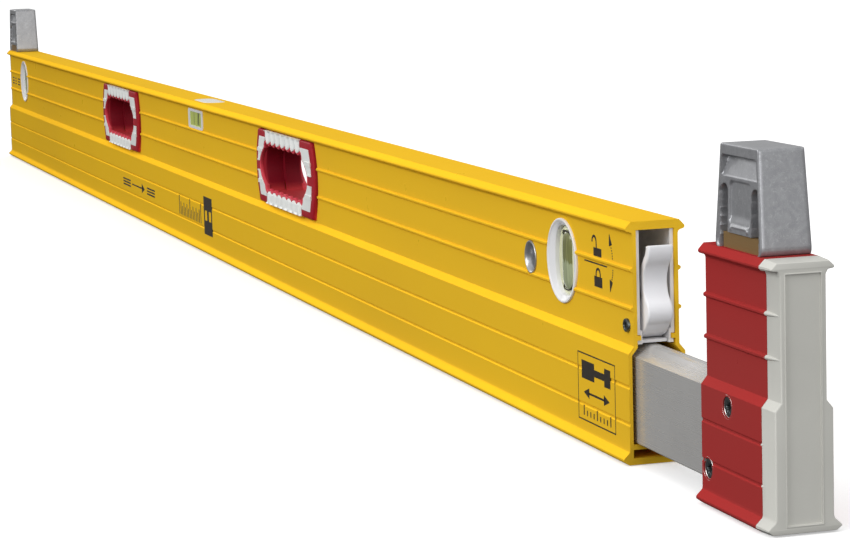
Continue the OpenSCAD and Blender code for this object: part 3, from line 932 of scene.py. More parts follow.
    def bracket(self, shell: Shell, side: Side, sx: int, sz: int) -> None:
        """One L-shaped white corner, between the lip of the hole and the soft outer frame.

        Args:
            shell: Where it is added.
            side: The face wanted.
            sx: 1 for the right end, -1 for the left.
            sz: 1 above the hole, -1 under it.
        """
        shift = self.hole_shift * sx
        hw, hh = self.hole_w / 2 + self.lip_w + 0.1 + shift, self.hole_h / 2 + self.lip_w + 0.1
        ow, oh = self.outer_w / 2 - 6.6, self.outer_h / 2 - 5.6
        start = self.strip_w / 2 + 0.8 + shift
        t = np.linspace(0, 1, 8)
        s = np.linspace(0, 1, 22)[1:]
        stop = 3.5

        def path(w: float, h: float, bow: float, corner: float) -> Array:
            """Along the top to the corner, and down the swelling end to the middle gap.

            Args:
                w: Half the width of the outline.
                h: Half its height.
                bow: How far its end swells.
                corner: Radius of its corner.

            Returns:
                Points by two, for the corner at the upper right.
            """
            top = np.stack([start + (w - corner - start) * t, np.full(8, h)], -1)
            bend = arc_points((w - corner, h - corner), corner, 90, 0, 8)[1:]
            z = (h - corner) + (stop - h + corner) * s
            end = np.stack([w + bow * (1 - (z / (h - corner)) ** 2), z], -1)
            return np.vstack([top, bend, end])

        inner = path(hw, hh, self.hole_bow, self.corner + self.lip_w)
        outer = path(ow, oh, self.outer_bow - 0.6, 1.2)
        flat = np.stack([inner + (outer - inner) * k for k in (0, 0.33, 0.67, 1.0)])
        turn = -side.value
        flat = flat * [sx * turn, sz] + [self.x, self.z]
        face = self.wall + self.proud
        depth = np.full(flat.shape[:2], face + 0.3)
        depth[1:3] += 0.12
        shell.plate(flat, depth, face - 0.8, side)
        z0, z1 = 10.8, 13.8
        x0 = hw + self.hole_bow * (1 - (z1 / hh) ** 2) - 0.6
        x1 = ow + self.outer_bow * (1 - (z1 / oh) ** 2) + 0.6
        tab = bar_grid(sx * x0 * turn, sz * z0, sx * x1 * turn, sz * z1) + [self.x, self.z]
        shell.plate(tab, face + 0.95, face - 0.5, side)
        x1 = ow + self.outer_bow * (1 - (stop / oh) ** 2) - 0.2
        x0 = hw + self.hole_bow * (1 - (stop / hh) ** 2) + 0.4
        tab = bar_grid(sx * x0 * turn, sz * stop, sx * x1 * turn, sz * (stop + 1.3))
        tab = tab + [self.x, self.z]
        shell.plate(tab, face + 0.75, face - 0.5, side)

    def strip(self, shell: Shell, side: Side, sz: int) -> None:
        """The white strip over or under the hole: a row of leaning fins on a backing.

        Args:
            shell: Where it is added.
            side: The face wanted.
            sz: 1 above the hole, -1 under it.
        """
        half = self.strip_w / 2
        x = np.linspace(-half + 0.3, half - 0.3, 197)
        bite = self.tooth_h * self.tooth(x)
        low = self.hole_h / 2 + self.lip_w + 0.1 - bite
        high = np.full_like(x, self.outer_h / 2 + (0.0 if sz > 0 else -0.4))
        k = np.linspace(0, 1, 13)[:, None]
        z = low + (high - low) * k
        lean = x + (1.5 if sz > 0 else 0.2) * (z - self.hole_h / 2) / 8.0
        phase = ((lean + half) / (self.strip_w / self.teeth)) % 1.0
        fin = np.where(phase < 0.66, phase / 0.66, (1 - phase) / 0.34)
        fine = 0.5 + 0.5 * np.cos(phase * 2 * np.pi * 2)
        fade = 1 - smooth_step(k, 0.86, 0.97)
        face = self.wall + self.proud
        depth = face + 0.15 + (1.7 * fin**1.5 + 0.2 * fine) * fade + 1.3 * (1 - fade)
        depth = depth - 0.5 * smooth_step(k, 0.12, 0.0)
        across = (x + self.hole_shift) * -side.value
        flat = np.stack(np.broadcast_arrays(across, sz * z), -1)
        shell.plate(flat + [self.x, self.z], depth, face - 1.6, side)

    def build(self) -> None:
        """Makes the soft halves, their lips and the inserts, in place of the plain nodes."""
        inserts, rubber = Shell(), self.finishes.grip
        for side in Side:
            node = f"{self.prefix}_grip_{side.name.lower()}"
            place_piece(self.half(side).build(f"{node}_moulding", 40.0), "frame", rubber, (node,))
            lip = self.lip(side).build(f"{node}_lip", 30.0)
            place_piece(lip, "frame", self.finishes.lip)
            for sz in (-1, 1):
                self.strip(inserts, side, sz)
                for sx in (-1, 1):
                    self.bracket(inserts, side, sx, sz)
        piece = inserts.build(f"{self.prefix}_grip_ribbed_inserts", 24.0)
        place_piece(piece, "frame", self.finishes.insert, (f"{self.prefix}_grip_inserts",))


@dataclass
class PlumbVial:
    """An upright vial: a dished round housing, a pale well and a tube that swells to both faces."""

    prefix: str
    finishes: Finishes
    wall: float = 12.5
    rim_r: float = 23.5
    rim: float = 1.3
    window: tuple = (14.9, 19.7)
    tube_hw: float = 9.3
    tube_hh: float = 18.8
    tube_face: float = 11.7
    well_face: float = 9.6

    def __post_init__(self) -> None:
        """Finds the middle of the vial."""
        box = NodeBox(f"{self.prefix}_plumb_housing")
        self.x, self.z = box.centre[0], box.centre[2]
        self.angle = np.linspace(0, 2 * np.pi, 160, endpoint=False)

    def oval(self, hw: float, hh: float, power: float = 2.5) -> Array:
        """A rounded oval: |x / hw| and |z / hh|, each to a power, add up to one.

        Args:
            hw: Half its width.
            hh: Half its height.
            power: 2 gives an ellipse, and more a squarer oval.

        Returns:
            Points by two, about its middle.
        """
        c, s = np.abs(np.cos(self.angle)), np.abs(np.sin(self.angle))
        radius = ((c / hw) ** power + (s / hh) ** power) ** (-1 / power)
        return radius[:, None] * np.stack([np.cos(self.angle), np.sin(self.angle)], -1)

    def dish(self, side: Side) -> Shell:
        """Rim, dished face and window wall of one side, joined loop by loop.

        Args:
            side: The face wanted.

        Returns:
            The closed shell.
        """
        circle = self.oval(1.0, 1.0, 2.0)
        top = self.wall + self.rim
        hw, hh = self.window
        loops = [
            (circle * (self.rim_r - 3), self.wall),
            (circle * self.rim_r, self.wall),
            (circle * self.rim_r, top - 0.5),
            (circle * (self.rim_r - 0.15), top - 0.15),
            (circle * (self.rim_r - 0.5), top),
            (circle * (self.rim_r - 1.1), top),
            (circle * (self.rim_r - 1.6), top - 0.3),
        ]
        outer, inner = circle * (self.rim_r - 1.8), self.oval(hw, hh)
        for k in np.linspace(0, 1, 9):
            loops.append((outer + (inner - outer) * k, top - 0.6 - 1.3 * k**1.2))
        loops.append((self.oval(hw - 0.3, hh - 0.3), top - 2.3))
        loops.append((self.oval(hw - 0.5, hh - 0.5), self.well_face - 2.0))
        loops.append((self.oval(hw - 0.5, hh - 0.5), 0.1))
        loops.append((circle * 21.0, 0.1))
        loops.append((circle * 21.0, self.wall))
        centre = [self.x, self.z]
        rings = np.stack([lift(loop + centre, depth, side) for loop, depth in loops])
        return Shell().grid(rings, wrap_rows=True, wrap_cols=True)

    def well(self) -> Shell:
        """The pale block that the tube is set in: an oval drum between the two windows.

        Returns:
            The closed shell.
        """
        hw, hh = self.window
        loops = [(0.02, 0.02, self.well_face), (hw - 1.2, hh - 1.2, self.well_face)]
        loops.append((hw - 0.6, hh - 0.6, self.well_face - 0.6))
        flat = np.stack([self.oval(a, b) for a, b, _ in loops]) + [self.x, self.z]
        depth = np.array([d for _, _, d in loops])[:, None]
        front = lift(flat, depth, Side.FRONT)
        rear = lift(flat, depth, Side.REAR)[::-1]
        return Shell().grid(np.concatenate([front, rear]), wrap_cols=True)

    def tube_depth(self, x: Array, z: Array) -> Array:
        """Half depth of the tube: it falls off towards its sides and its pointed ends.

        Args:
            x: Distance from its middle line.
            z: Height over its middle.

        Returns:
            Half the depth at each point.
        """
        across = np.clip(1 - np.abs(x / self.tube_hw) ** 3, 0, 1) ** (1 / 3)
        along = np.clip(1 - np.abs(z / self.tube_hh) ** 6, 0, 1) ** 0.5
        return self.tube_face * across * (0.78 + 0.22 * along)

    def tube(self) -> Shell:
        """The tube as two faces over a grid of its outline, which meet at its edge.

        Returns:
            The closed shell.
        """
        t = np.sin(np.linspace(-np.pi / 2, np.pi / 2, 49))
        v = np.sin(np.linspace(-np.pi / 2, np.pi / 2, 81))
        z = v[:, None] * self.tube_hh
        hw = self.tube_hw * np.clip(1 - np.abs(v[:, None]) ** 5, 0, 1) ** 0.5
        x = t[None, :] * hw
        z = z + 0 * x
        ratio = x * self.tube_hw / np.maximum(hw, 0.05)
        depth = self.tube_depth(ratio, z) * np.clip(hw / self.tube_hw, 0, 1) ** 0.3
        flat = np.stack([x + self.x, z + self.z], -1)
        return Shell().grid(lift(flat, depth, Side.FRONT)).grid(lift(flat, depth, Side.REAR))

    def marks(self) -> Shell:
        """A dark line round the face of the tube on each side.

        Returns:
            A thin plate on each side.
        """
        shell = Shell()
        for side in Side:
            flat = np.stack([self.oval(8.5, 16.6, 4.0), self.oval(7.9, 16.0, 4.0)])
            flat = np.concatenate([flat, flat[:, :1]], 1)
            depth = self.tube_depth(flat[..., 0], flat[..., 1])
            shell.plate(flat + [self.x, self.z], depth + 0.12, depth - 0.6, side)
        return shell

    def build(self) -> None:
        """Makes the housing, the well, the tube and its outline."""
        name = f"{self.prefix}_plumb"
        housing = self.dish(Side.FRONT).join(self.dish(Side.REAR)).build(f"{name}_dish", 50.0)
        place_piece(housing, "frame", self.finishes.ring, (f"{name}_housing",))
        well = self.well().build(f"{name}_well", 50.0)
        place_piece(well, "frame", self.finishes.well, (f"{name}_tube",))
        tube = self.tube().build(f"{name}_spirit_tube", 50.0)
        place_piece(tube, "frame", self.finishes.tube, (f"{name}_fluid",))
        marks = self.marks().build(f"{name}_tube_outline")
        place_piece(marks, "frame", self.finishes.ink)


@dataclass
class CentreVial:
    """Fine pieces of the long vial in the middle of the frame."""

    finishes: Finishes

    def build(self) -> None:
        """Adds the dark lines that frame the bubble, and the window in the top."""
        block = NodeBox("centre_vial_block")
        x, z = block.centre[0], block.centre[2]
        tall = (block.high[2] - block.low[2]) / 2 - 1.2
        shell = Shell()
        for side, face in ((Side.FRONT, -block.low[1]), (Side.REAR, block.high[1])):
            for at, wide in ((x - 7.4, 1.0), (x + 6.4, 1.0), (x + 9.5, 2.6)):
                shell.plate(bar_grid(at, z - tall, at + wide, z + tall), face + 0.06, face - 0.1, side)
        marks = shell.build("centre_vial_marks")
        place_piece(marks, "frame", self.finishes.ink)
        self.lens(x)

    def lens(self, x: float) -> None:
        """The milky window in the top: an oval pad with a rounded edge, a little below flush.

        Args:
            x: Where its middle is.
        """
        top = NodeBox("main_beam").high[2]
        loops = []
        for inset, drop in ((3.0, 0.0), (0.9, 0.0), (0.5, 0.15), (0.3, 0.6), (0.3, 3.2)):
            right = arc_points((18.5, 0), 9.5 - inset, -90, 90, 25)
            loop = np.vstack([right, right * [-1, -1]])
            loops.append(np.hstack([loop + [x, 0], np.full((len(loop), 1), top - drop)]))
        shell = Shell().grid(np.stack(loops), wrap_cols=True).cap(loops[0]).cap(loops[-1])
        piece = shell.build("centre_vial_top_lens", 40.0)
        place_piece(piece, "frame", self.finishes.lens)


@dataclass
class Lever:
    """The lock lever: an S-shaped paddle on a cam, drawn from the side and rounded over."""

    finishes: Finishes
    rounding: float = 1.1
    cam_r: float = 7.0

    def outline(self) -> Array:
        """Side outline about the pivot: front arcs downwards, the cam, and back arcs upwards.

        Returns:
            Points by two, evenly spaced.
        """
        bend, low_r, mid_r, top_r = 50.0, 7.2, 13.0, 11.2
        low_c = np.array([7.6, 7.6])
        turn = np.radians(bend)
        mid_c = low_c + (low_r + mid_r) * np.array([math.cos(turn), math.sin(turn)])
        top_c = mid_c + (mid_r + top_r) * np.array([-math.cos(turn), math.sin(turn)])
        parts = [
            arc_points(top_c, top_r, 6, -bend, 14),
            arc_points(mid_c, mid_r, 180 - bend, 180 + bend, 22),
            arc_points(low_c, low_r, bend, -60, 20),
            np.array([[8.2, -2.0], [5.2, -4.6], [0.0, -6.9]]),
            arc_points((0, 0), self.cam_r, -96, -244, 30),
            arc_points(mid_c, mid_r + 4.6, 205, 180 - bend, 18),
            arc_points(top_c, top_r - 4.6, -bend, 6, 10),
        ]
        return even_loop(np.vstack(parts), 0.4, 3)

    def build(self) -> None:
        """Makes the lever round the pivot that the frame's pin gives."""
        pin, node = NodeBox("lever_pin"), NodeBox("lock_lever")
        pivot = np.array([pin.centre[0], pin.centre[2]])
        half = (node.high[1] - node.low[1]) / 2
        loop = self.outline()
        normal = outward(loop)
        r = self.rounding
        rings = []
        for turn in np.linspace(90, 0, 6):
            inset = r * (1 - math.cos(math.radians(turn)))
            y = half - r + r * math.sin(math.radians(turn))
            flat = loop - normal * inset + pivot
            rings.append(np.stack([flat[:, 0], np.full(len(flat), -y), flat[:, 1]], -1))
        rings += [ring * [1, -1, 1] for ring in rings[::-1]]
        shell = Shell().grid(np.stack(rings), wrap_cols=True)
        shell.cap(rings[0]).cap(rings[-1])
        place_piece(
            shell.build("lock_lever_paddle", 45.0), "lever", self.finishes.lever, ("lock_lever",)
        )


@dataclass
class Standoff:
    """A cast stand-off: legs and a lintel round a scooped pocket, two arches and a tongue."""

    prefix: str
    body: str
    finishes: Finishes
    edge_r: float = 0.9
    top_r: float = 1.3
    foot_r: float = 4.5
    leg: float = 2.3
    taper: float = 5.2
    lean: float = 1.2

    def __post_init__(self) -> None:
        """Reads its place and its sizes."""
        box = NodeBox(f"{self.prefix}_standoff")
        self.x, self.z = box.centre[0], box.low[2]
        self.height = box.high[2] - box.low[2]
        self.foot_hw = (box.high[0] - box.low[0]) / 2
        self.foot_hd = (box.high[1] - box.low[1]) / 2
        clamp = NodeBox(f"{self.prefix}_clamp_block")
        self.clamp_hw = (clamp.high[0] - clamp.low[0]) / 2 + 0.15
        self.clamp_h = clamp.high[2] - clamp.low[2] + 0.1

    def half_width(self, z: Array) -> Array:
        """Half its length at a height: it tapers up, and is rounded over at foot and top.

        Args:
            z: Height over the foot.

        Returns:
            Half the length there.
        """
        straight = self.foot_hw - self.taper * z / self.height
        over = np.clip(z - (self.height - self.top_r), 0, self.top_r)
        under = np.clip(self.foot_r - z, 0, self.foot_r)
        top = self.top_r - np.sqrt(np.maximum(self.top_r**2 - over**2, 0))
        foot = self.foot_r - np.sqrt(np.maximum(self.foot_r**2 - under**2, 0))
        return straight - top - foot * 0.55

    def half_depth(self, z: Array) -> Array:
        """Half its width across the instrument at a height."""
        return self.foot_hd - 0.2 - self.lean * z / self.height

    @staticmethod
    def inside(
        x: Array, z: Array, hw: Array, z0: float, z1: float, r: float, soft: float
    ) -> Array:
        """One inside a rectangle with round corners, zero outside, soft at its border.

        Args:
            x: Distance from the middle of the rectangle.
            z: Height over the foot.
            hw: Half the rectangle's width.
            z0: Its lower edge.
            z1: Its upper edge.
            r: Radius of its corners.
            soft: Half the width of the soft border.

        Returns:
            The share that is inside, at each point.
        """
        dx = np.abs(x) - (hw - r)
        dz = np.abs(z - (z0 + z1) / 2) - ((z1 - z0) / 2 - r)
        gap = np.hypot(np.maximum(dx, 0), np.maximum(dz, 0)) + np.minimum(np.maximum(dx, dz), 0) - r
        return 1 - smooth_step(gap, -soft, soft)

    def relief(self, x: Array, z: Array) -> Array:
        """How deep the face lies under its legs: the pocket's parts laid over each other.

        Args:
            x: Distance from the middle.
            z: Height over the foot.

        Returns:
            Depth at each point.
        """
        hw = self.half_width(z) - self.leg
        top, ledge = self.height - 5.4, self.height - 14.8
        depth = 0.8 * self.inside(x, z, hw, -6.0, ledge + 2, 2.0, 0.4)
        ramp = np.clip((z - ledge) / (top - ledge), 0, 1)
        scoop = self.inside(x, z, hw - 0.4, ledge - 0.4, top, 1.6, 0.4)
        depth = depth * (1 - scoop) + scoop * (1.2 + 2.9 * ramp)
        panel = self.inside(x, z, 11.9, 11.6, ledge - 2.6, 2.6, 0.6)
        depth += panel * (0.3 + 1.0 * smooth_step(z, 11.0, 16.5))
        bumps = sum(np.exp(-((x - s * 9.4) ** 2 + (z - 9.8) ** 2) / 1.1) for s in (-1, 1))
        ridge = np.exp(-(((z - 10.6) / 0.5) ** 2)) * (np.abs(x) < 8.6)
        depth -= bumps * 0.9 + ridge * 0.35
        slot = self.inside(np.abs(x) - 17.9, z, 3.9, -6.0, ledge - 4.6, 3.6, 0.5)
        depth = np.maximum(depth, slot * 9.0)
        under = self.inside(x, z, self.clamp_hw, -8.0, self.clamp_h, 0.4, 0.3)
        return np.maximum(depth, under * 10.2)

    def face(self, side: Side, u: Array, v: Array) -> Array:
        """One long face as a grid over its own outline, with rounded outer edges.

        Args:
            side: The face wanted.
            u: Shares of the half width, from -1 to 1.
            v: Shares of the height.

        Returns:
            Rows by columns by three.
        """
        z = v[:, None] * self.height + 0 * u[None, :]
        hw = self.half_width(z)
        x = u[None, :] * hw
        reach = np.minimum(hw - np.abs(x), self.height - z)
        r = self.edge_r
        edge = r - np.sqrt(np.maximum(r**2 - np.clip(r - reach, 0, r) ** 2, 0))
        depth = self.half_depth(z) - edge - self.relief(x, z)
        flat = np.stack([x + self.x, z + self.z], -1)
        return lift(flat, depth, side)

    def build(self) -> None:
        """Makes the casting from its two faces and the strips that join them."""
        fine = 1 - np.array([0.0, 0.004, 0.01, 0.018, 0.028, 0.04])
        u = np.concatenate([-fine, np.linspace(-0.955, 0.955, 132), fine[::-1]])
        v = np.concatenate(
            [np.linspace(0, 0.97, 150), 1 - np.array([0.022, 0.016, 0.011, 0.007, 0.003, 0.0])]
        )
        front, rear = self.face(Side.FRONT, u, v), self.face(Side.REAR, u, v)
        shell = Shell().grid(front).grid(rear)
        across = np.linspace(0, 1, 17)[:, None, None]
        for a, b in (
            (front[:, 0], rear[:, 0]),
            (front[:, -1], rear[:, -1]),
            (front[0], rear[0]),
            (front[-1], rear[-1]),
        ):
            shell.grid(a[None] * (1 - across) + b[None] * across)
        piece = shell.build(f"{self.prefix}_standoff_casting", 60.0)
        place_piece(piece, self.body, self.finishes.cast, (f"{self.prefix}_standoff",))


@dataclass
class HeadCap:
    """The moulded cap on the head's end: drafted sides, a framed sunk panel and rib stubs."""

    finishes: Finishes
    upper: float = 12.6
    draft: float = 2.0
    fillet: float = 0.9
    panel_hw: float = 8.9
    panel_low: float = 4.3
    panel_top: float = 120.9
    sunk: float = 1.0
    rim: float = 0.3

    def corners(self) -> tuple:
        """Corners of the section, anticlockwise from the base, and the pull of each.

        Returns:
            The corners, and the pulls.
        """
        half = np.array(
            [
                [16.3, 0, 1.0],
                [19.3, 2.2, 1.1],
                [19.3, 3.4, 1.1],
                [16.1, 6.7, 1.6],
                [15.8, 7.8, 2.0],
                [15.8, 58.3, 2.0],
                [12.6, 62.2, 2.0],
                [12.6, 119.8, 2.0],
                [13.3, 121.4, 1.7],
                [15.6, 122.0, 1.2],
                [16.4, 122.9, 1.1],
                [16.4, 124.0, 1.1],
                [13.4, 127.0, 1.2],
            ]
        )
        both = np.vstack([half, half[::-1] * [-1, 1, 1]])
        return both[:, :2], both[:, 2]

    def profile(self, length: float) -> list:
        """Distance from the joint and share of the pull, ring by ring.

        Args:
            length: From the joint to the end face.

        Returns:
            Pairs, ring by ring.
        """
        steps = [(0.02, 0.07), (0.35, 0.0), (length * 0.5, 0.27), (length - self.fillet, 0.56)]
        for turn in (22.5, 45.0, 67.5, 90.0):
            bend = math.radians(turn)
            steps.append(
                (length - self.fillet * (1 - math.sin(bend)), 1 - 0.44 * math.cos(bend))
            )
        return steps

    def frame_loop(self, grow: float, x: float) -> Array:
        """The panel's border, grown outwards, at x."""
        hw, low, top = self.panel_hw + grow, self.panel_low - grow, self.panel_top + grow
        return np.array([[x, -hw, low], [x, hw, low], [x, hw, top], [x, -hw, top]])

    def nub(self, start: float, length: float, z: float, wall: float, size: tuple) -> Shell:
        """A rib that begins at the joint and tapers to a point along both walls.

        Args:
            start: Where it begins.
            length: How long it is.
            z: Its height.
            wall: The wall's distance from the middle plane.
            size: Half its height, and how far it stands out.

        Returns:
            The closed shell.
        """
        turn = np.linspace(0, 2 * np.pi, 25)[:-1]
        shell = Shell()
        half_z, out_y = size
        for side in Side:
            rows = []
            for k in np.linspace(0, 1, 14):
                taper = (1 - k) ** 0.55
                centre = wall - self.draft * 0.56 * k * min(1.0, length / 12) - 0.5
                y = centre + (out_y + 0.5) * taper * np.cos(turn)
                up = z + (half_z * taper + 0.03) * np.sin(turn)
                rows.append(np.stack([np.full_like(turn, start + length * k), side.value * y, up], -1))
            shell.grid(np.stack(rows), wrap_cols=True).cap(rows[0]).cap(rows[-1])
        return shell

    def build(self) -> None:
        """Joins rings from the joint to the end face, and adds the panel and the stubs."""
        end, start = NodeBox("head_cap").high[0], NodeBox("head_profile").high[0]
        face = end - self.rim
        corners, pull = self.corners()
        rings = []
        for along, share in self.profile(face - start):
            flat = mitred(corners, pull * share)
            rings.append(np.hstack([np.full((len(flat), 1), start + along), flat]))
        shell = Shell().grid(np.stack(rings), wrap_cols=True).cap(rings[0])
        shell.cap(rings[-1], self.frame_loop(0.6, face))
        border = ((0.6, face), (0.45, end - 0.05), (0.3, end), (0.1, end), (-0.05, end - 0.1))
        border += ((-0.15, face - self.sunk + 0.2), (-0.4, face - self.sunk))
        frame = [self.frame_loop(grow, x) for grow, x in border]
        shell.grid(np.stack(frame), wrap_cols=True).cap(frame[-1])
        for rib_z in (81.5, 101.9):
            shell.join(self.nub(start - 0.7, face - start + 0.3, rib_z, self.upper, (1.3, 1.45)))
        for groove_z in (21.4, 40.9):
            shell.join(self.nub(start - 0.1, 2.2, groove_z, 15.8, (0.7, 0.45)))
        piece = shell.build("head_cap_moulding", 28.0)
        place_piece(piece, "extension", self.finishes.ivory, ("head_cap",))


@dataclass
class SocketScrews:
    """Round screw heads with a star socket, sunk in both walls, and their shanks."""

    node: str
    body: str
    finish: Finish
    spots: tuple
    head_r: float
    shank_r: float
    socket_r: float

    def build(self) -> None:
        """Joins rings from the shank's end out over the head and down into its socket."""
        box = NodeBox(self.node)
        top, shell = box.high[1], Shell()
        angle = np.linspace(0, 2 * np.pi, 72, endpoint=False)
        circle = np.stack([np.cos(angle), np.sin(angle)], -1)
        star = circle * (1 + 0.15 * np.cos(6 * angle))[:, None] * self.socket_r
        r, shank = self.head_r, self.shank_r
        loops = [
            (circle * 0.02, top - 12.0),
            (circle * shank, top - 12.0),
            (circle * shank, top - 3.5),
            (circle * r, top - 3.4),
            (circle * r, top - 0.5),
            (circle * (r - 0.2), top - 0.15),
            (circle * (r - 0.6), top),
            (circle * (r - 1.2), top - 0.05),
            (star * 1.12, top - 0.25),
            (star, top - 0.6),
            (star * 0.96, top - 2.4),
            (star * 0.05, top - 2.9),
        ]
        for x, z in self.spots:
            for side in Side:
                rings = [lift(loop + [x, z], depth, side) for loop, depth in loops]
                shell.grid(np.stack(rings), wrap_cols=True)
        place_piece(shell.build(f"{self.node}_star_socket", 35.0), self.body, self.finish, (self.node,))


@dataclass
class HangSleeves:
    """The turned metal sleeve of the hanging hole, with a rolled lip on each face."""

    finishes: Finishes

    def build(self) -> None:
        """Turns one closed profile on each face."""
        box, shell = NodeBox("hang_sleeves"), Shell()
        profile = np.array(
            [[7.6, 0.1], [7.6, 12.0], [9.45, 12.0], [9.5, 13.0], [9.25, 13.35], [8.8, 13.45]]
            + [[8.3, 13.2], [7.7, 12.3], [7.0, 11.0], [6.55, 9.5], [6.5, 0.1]]
        )
        for side in Side:
            rings = lathe(box.centre[0], box.centre[2], profile, side)
            shell.grid(rings, wrap_rows=True, wrap_cols=True)
        piece = shell.build("hang_sleeves_turned", 35.0)
        place_piece(piece, "frame", self.finishes.sleeve, ("hang_sleeves",))


@dataclass
class Countersinks:
    """Bare metal chamfers round the screw holes of the head."""

    finishes: Finishes
    wall: float = 15.8
    hole_r: float = 5.0
    width: float = 0.8

    def build(self) -> None:
        """One turned ring for each hole: a flat lip, a cone and the cut face."""
        screws, inset = NodeBox("head_screws"), 4.9
        shell = Shell()
        angle = np.linspace(0, 2 * np.pi, 48, endpoint=False)
        near, far = screws.low, screws.high
        spots = ((near[0] + inset, near[2] + inset), (far[0] - inset, far[2] - inset))
        for x, z in spots:
            for side in Side:
                rows = []
                for r, depth in (
                    (self.hole_r - 0.02, self.wall - 1.7),
                    (self.hole_r - 0.02, self.wall - 0.75),
                    (self.hole_r + self.width, self.wall + 0.03),
                    (self.hole_r + self.width + 0.1, self.wall - 0.05),
                    (self.hole_r + self.width + 0.1, self.wall - 1.7),
                ):
                    flat = np.stack([x + r * np.cos(angle), z + r * np.sin(angle)], -1)
                    rows.append(lift(flat, depth, side))
                shell.grid(np.stack(rows), wrap_rows=True, wrap_cols=True)
        piece = shell.build("head_screw_countersinks", 30.0)
        place_piece(piece, "extension", self.finishes.bare)


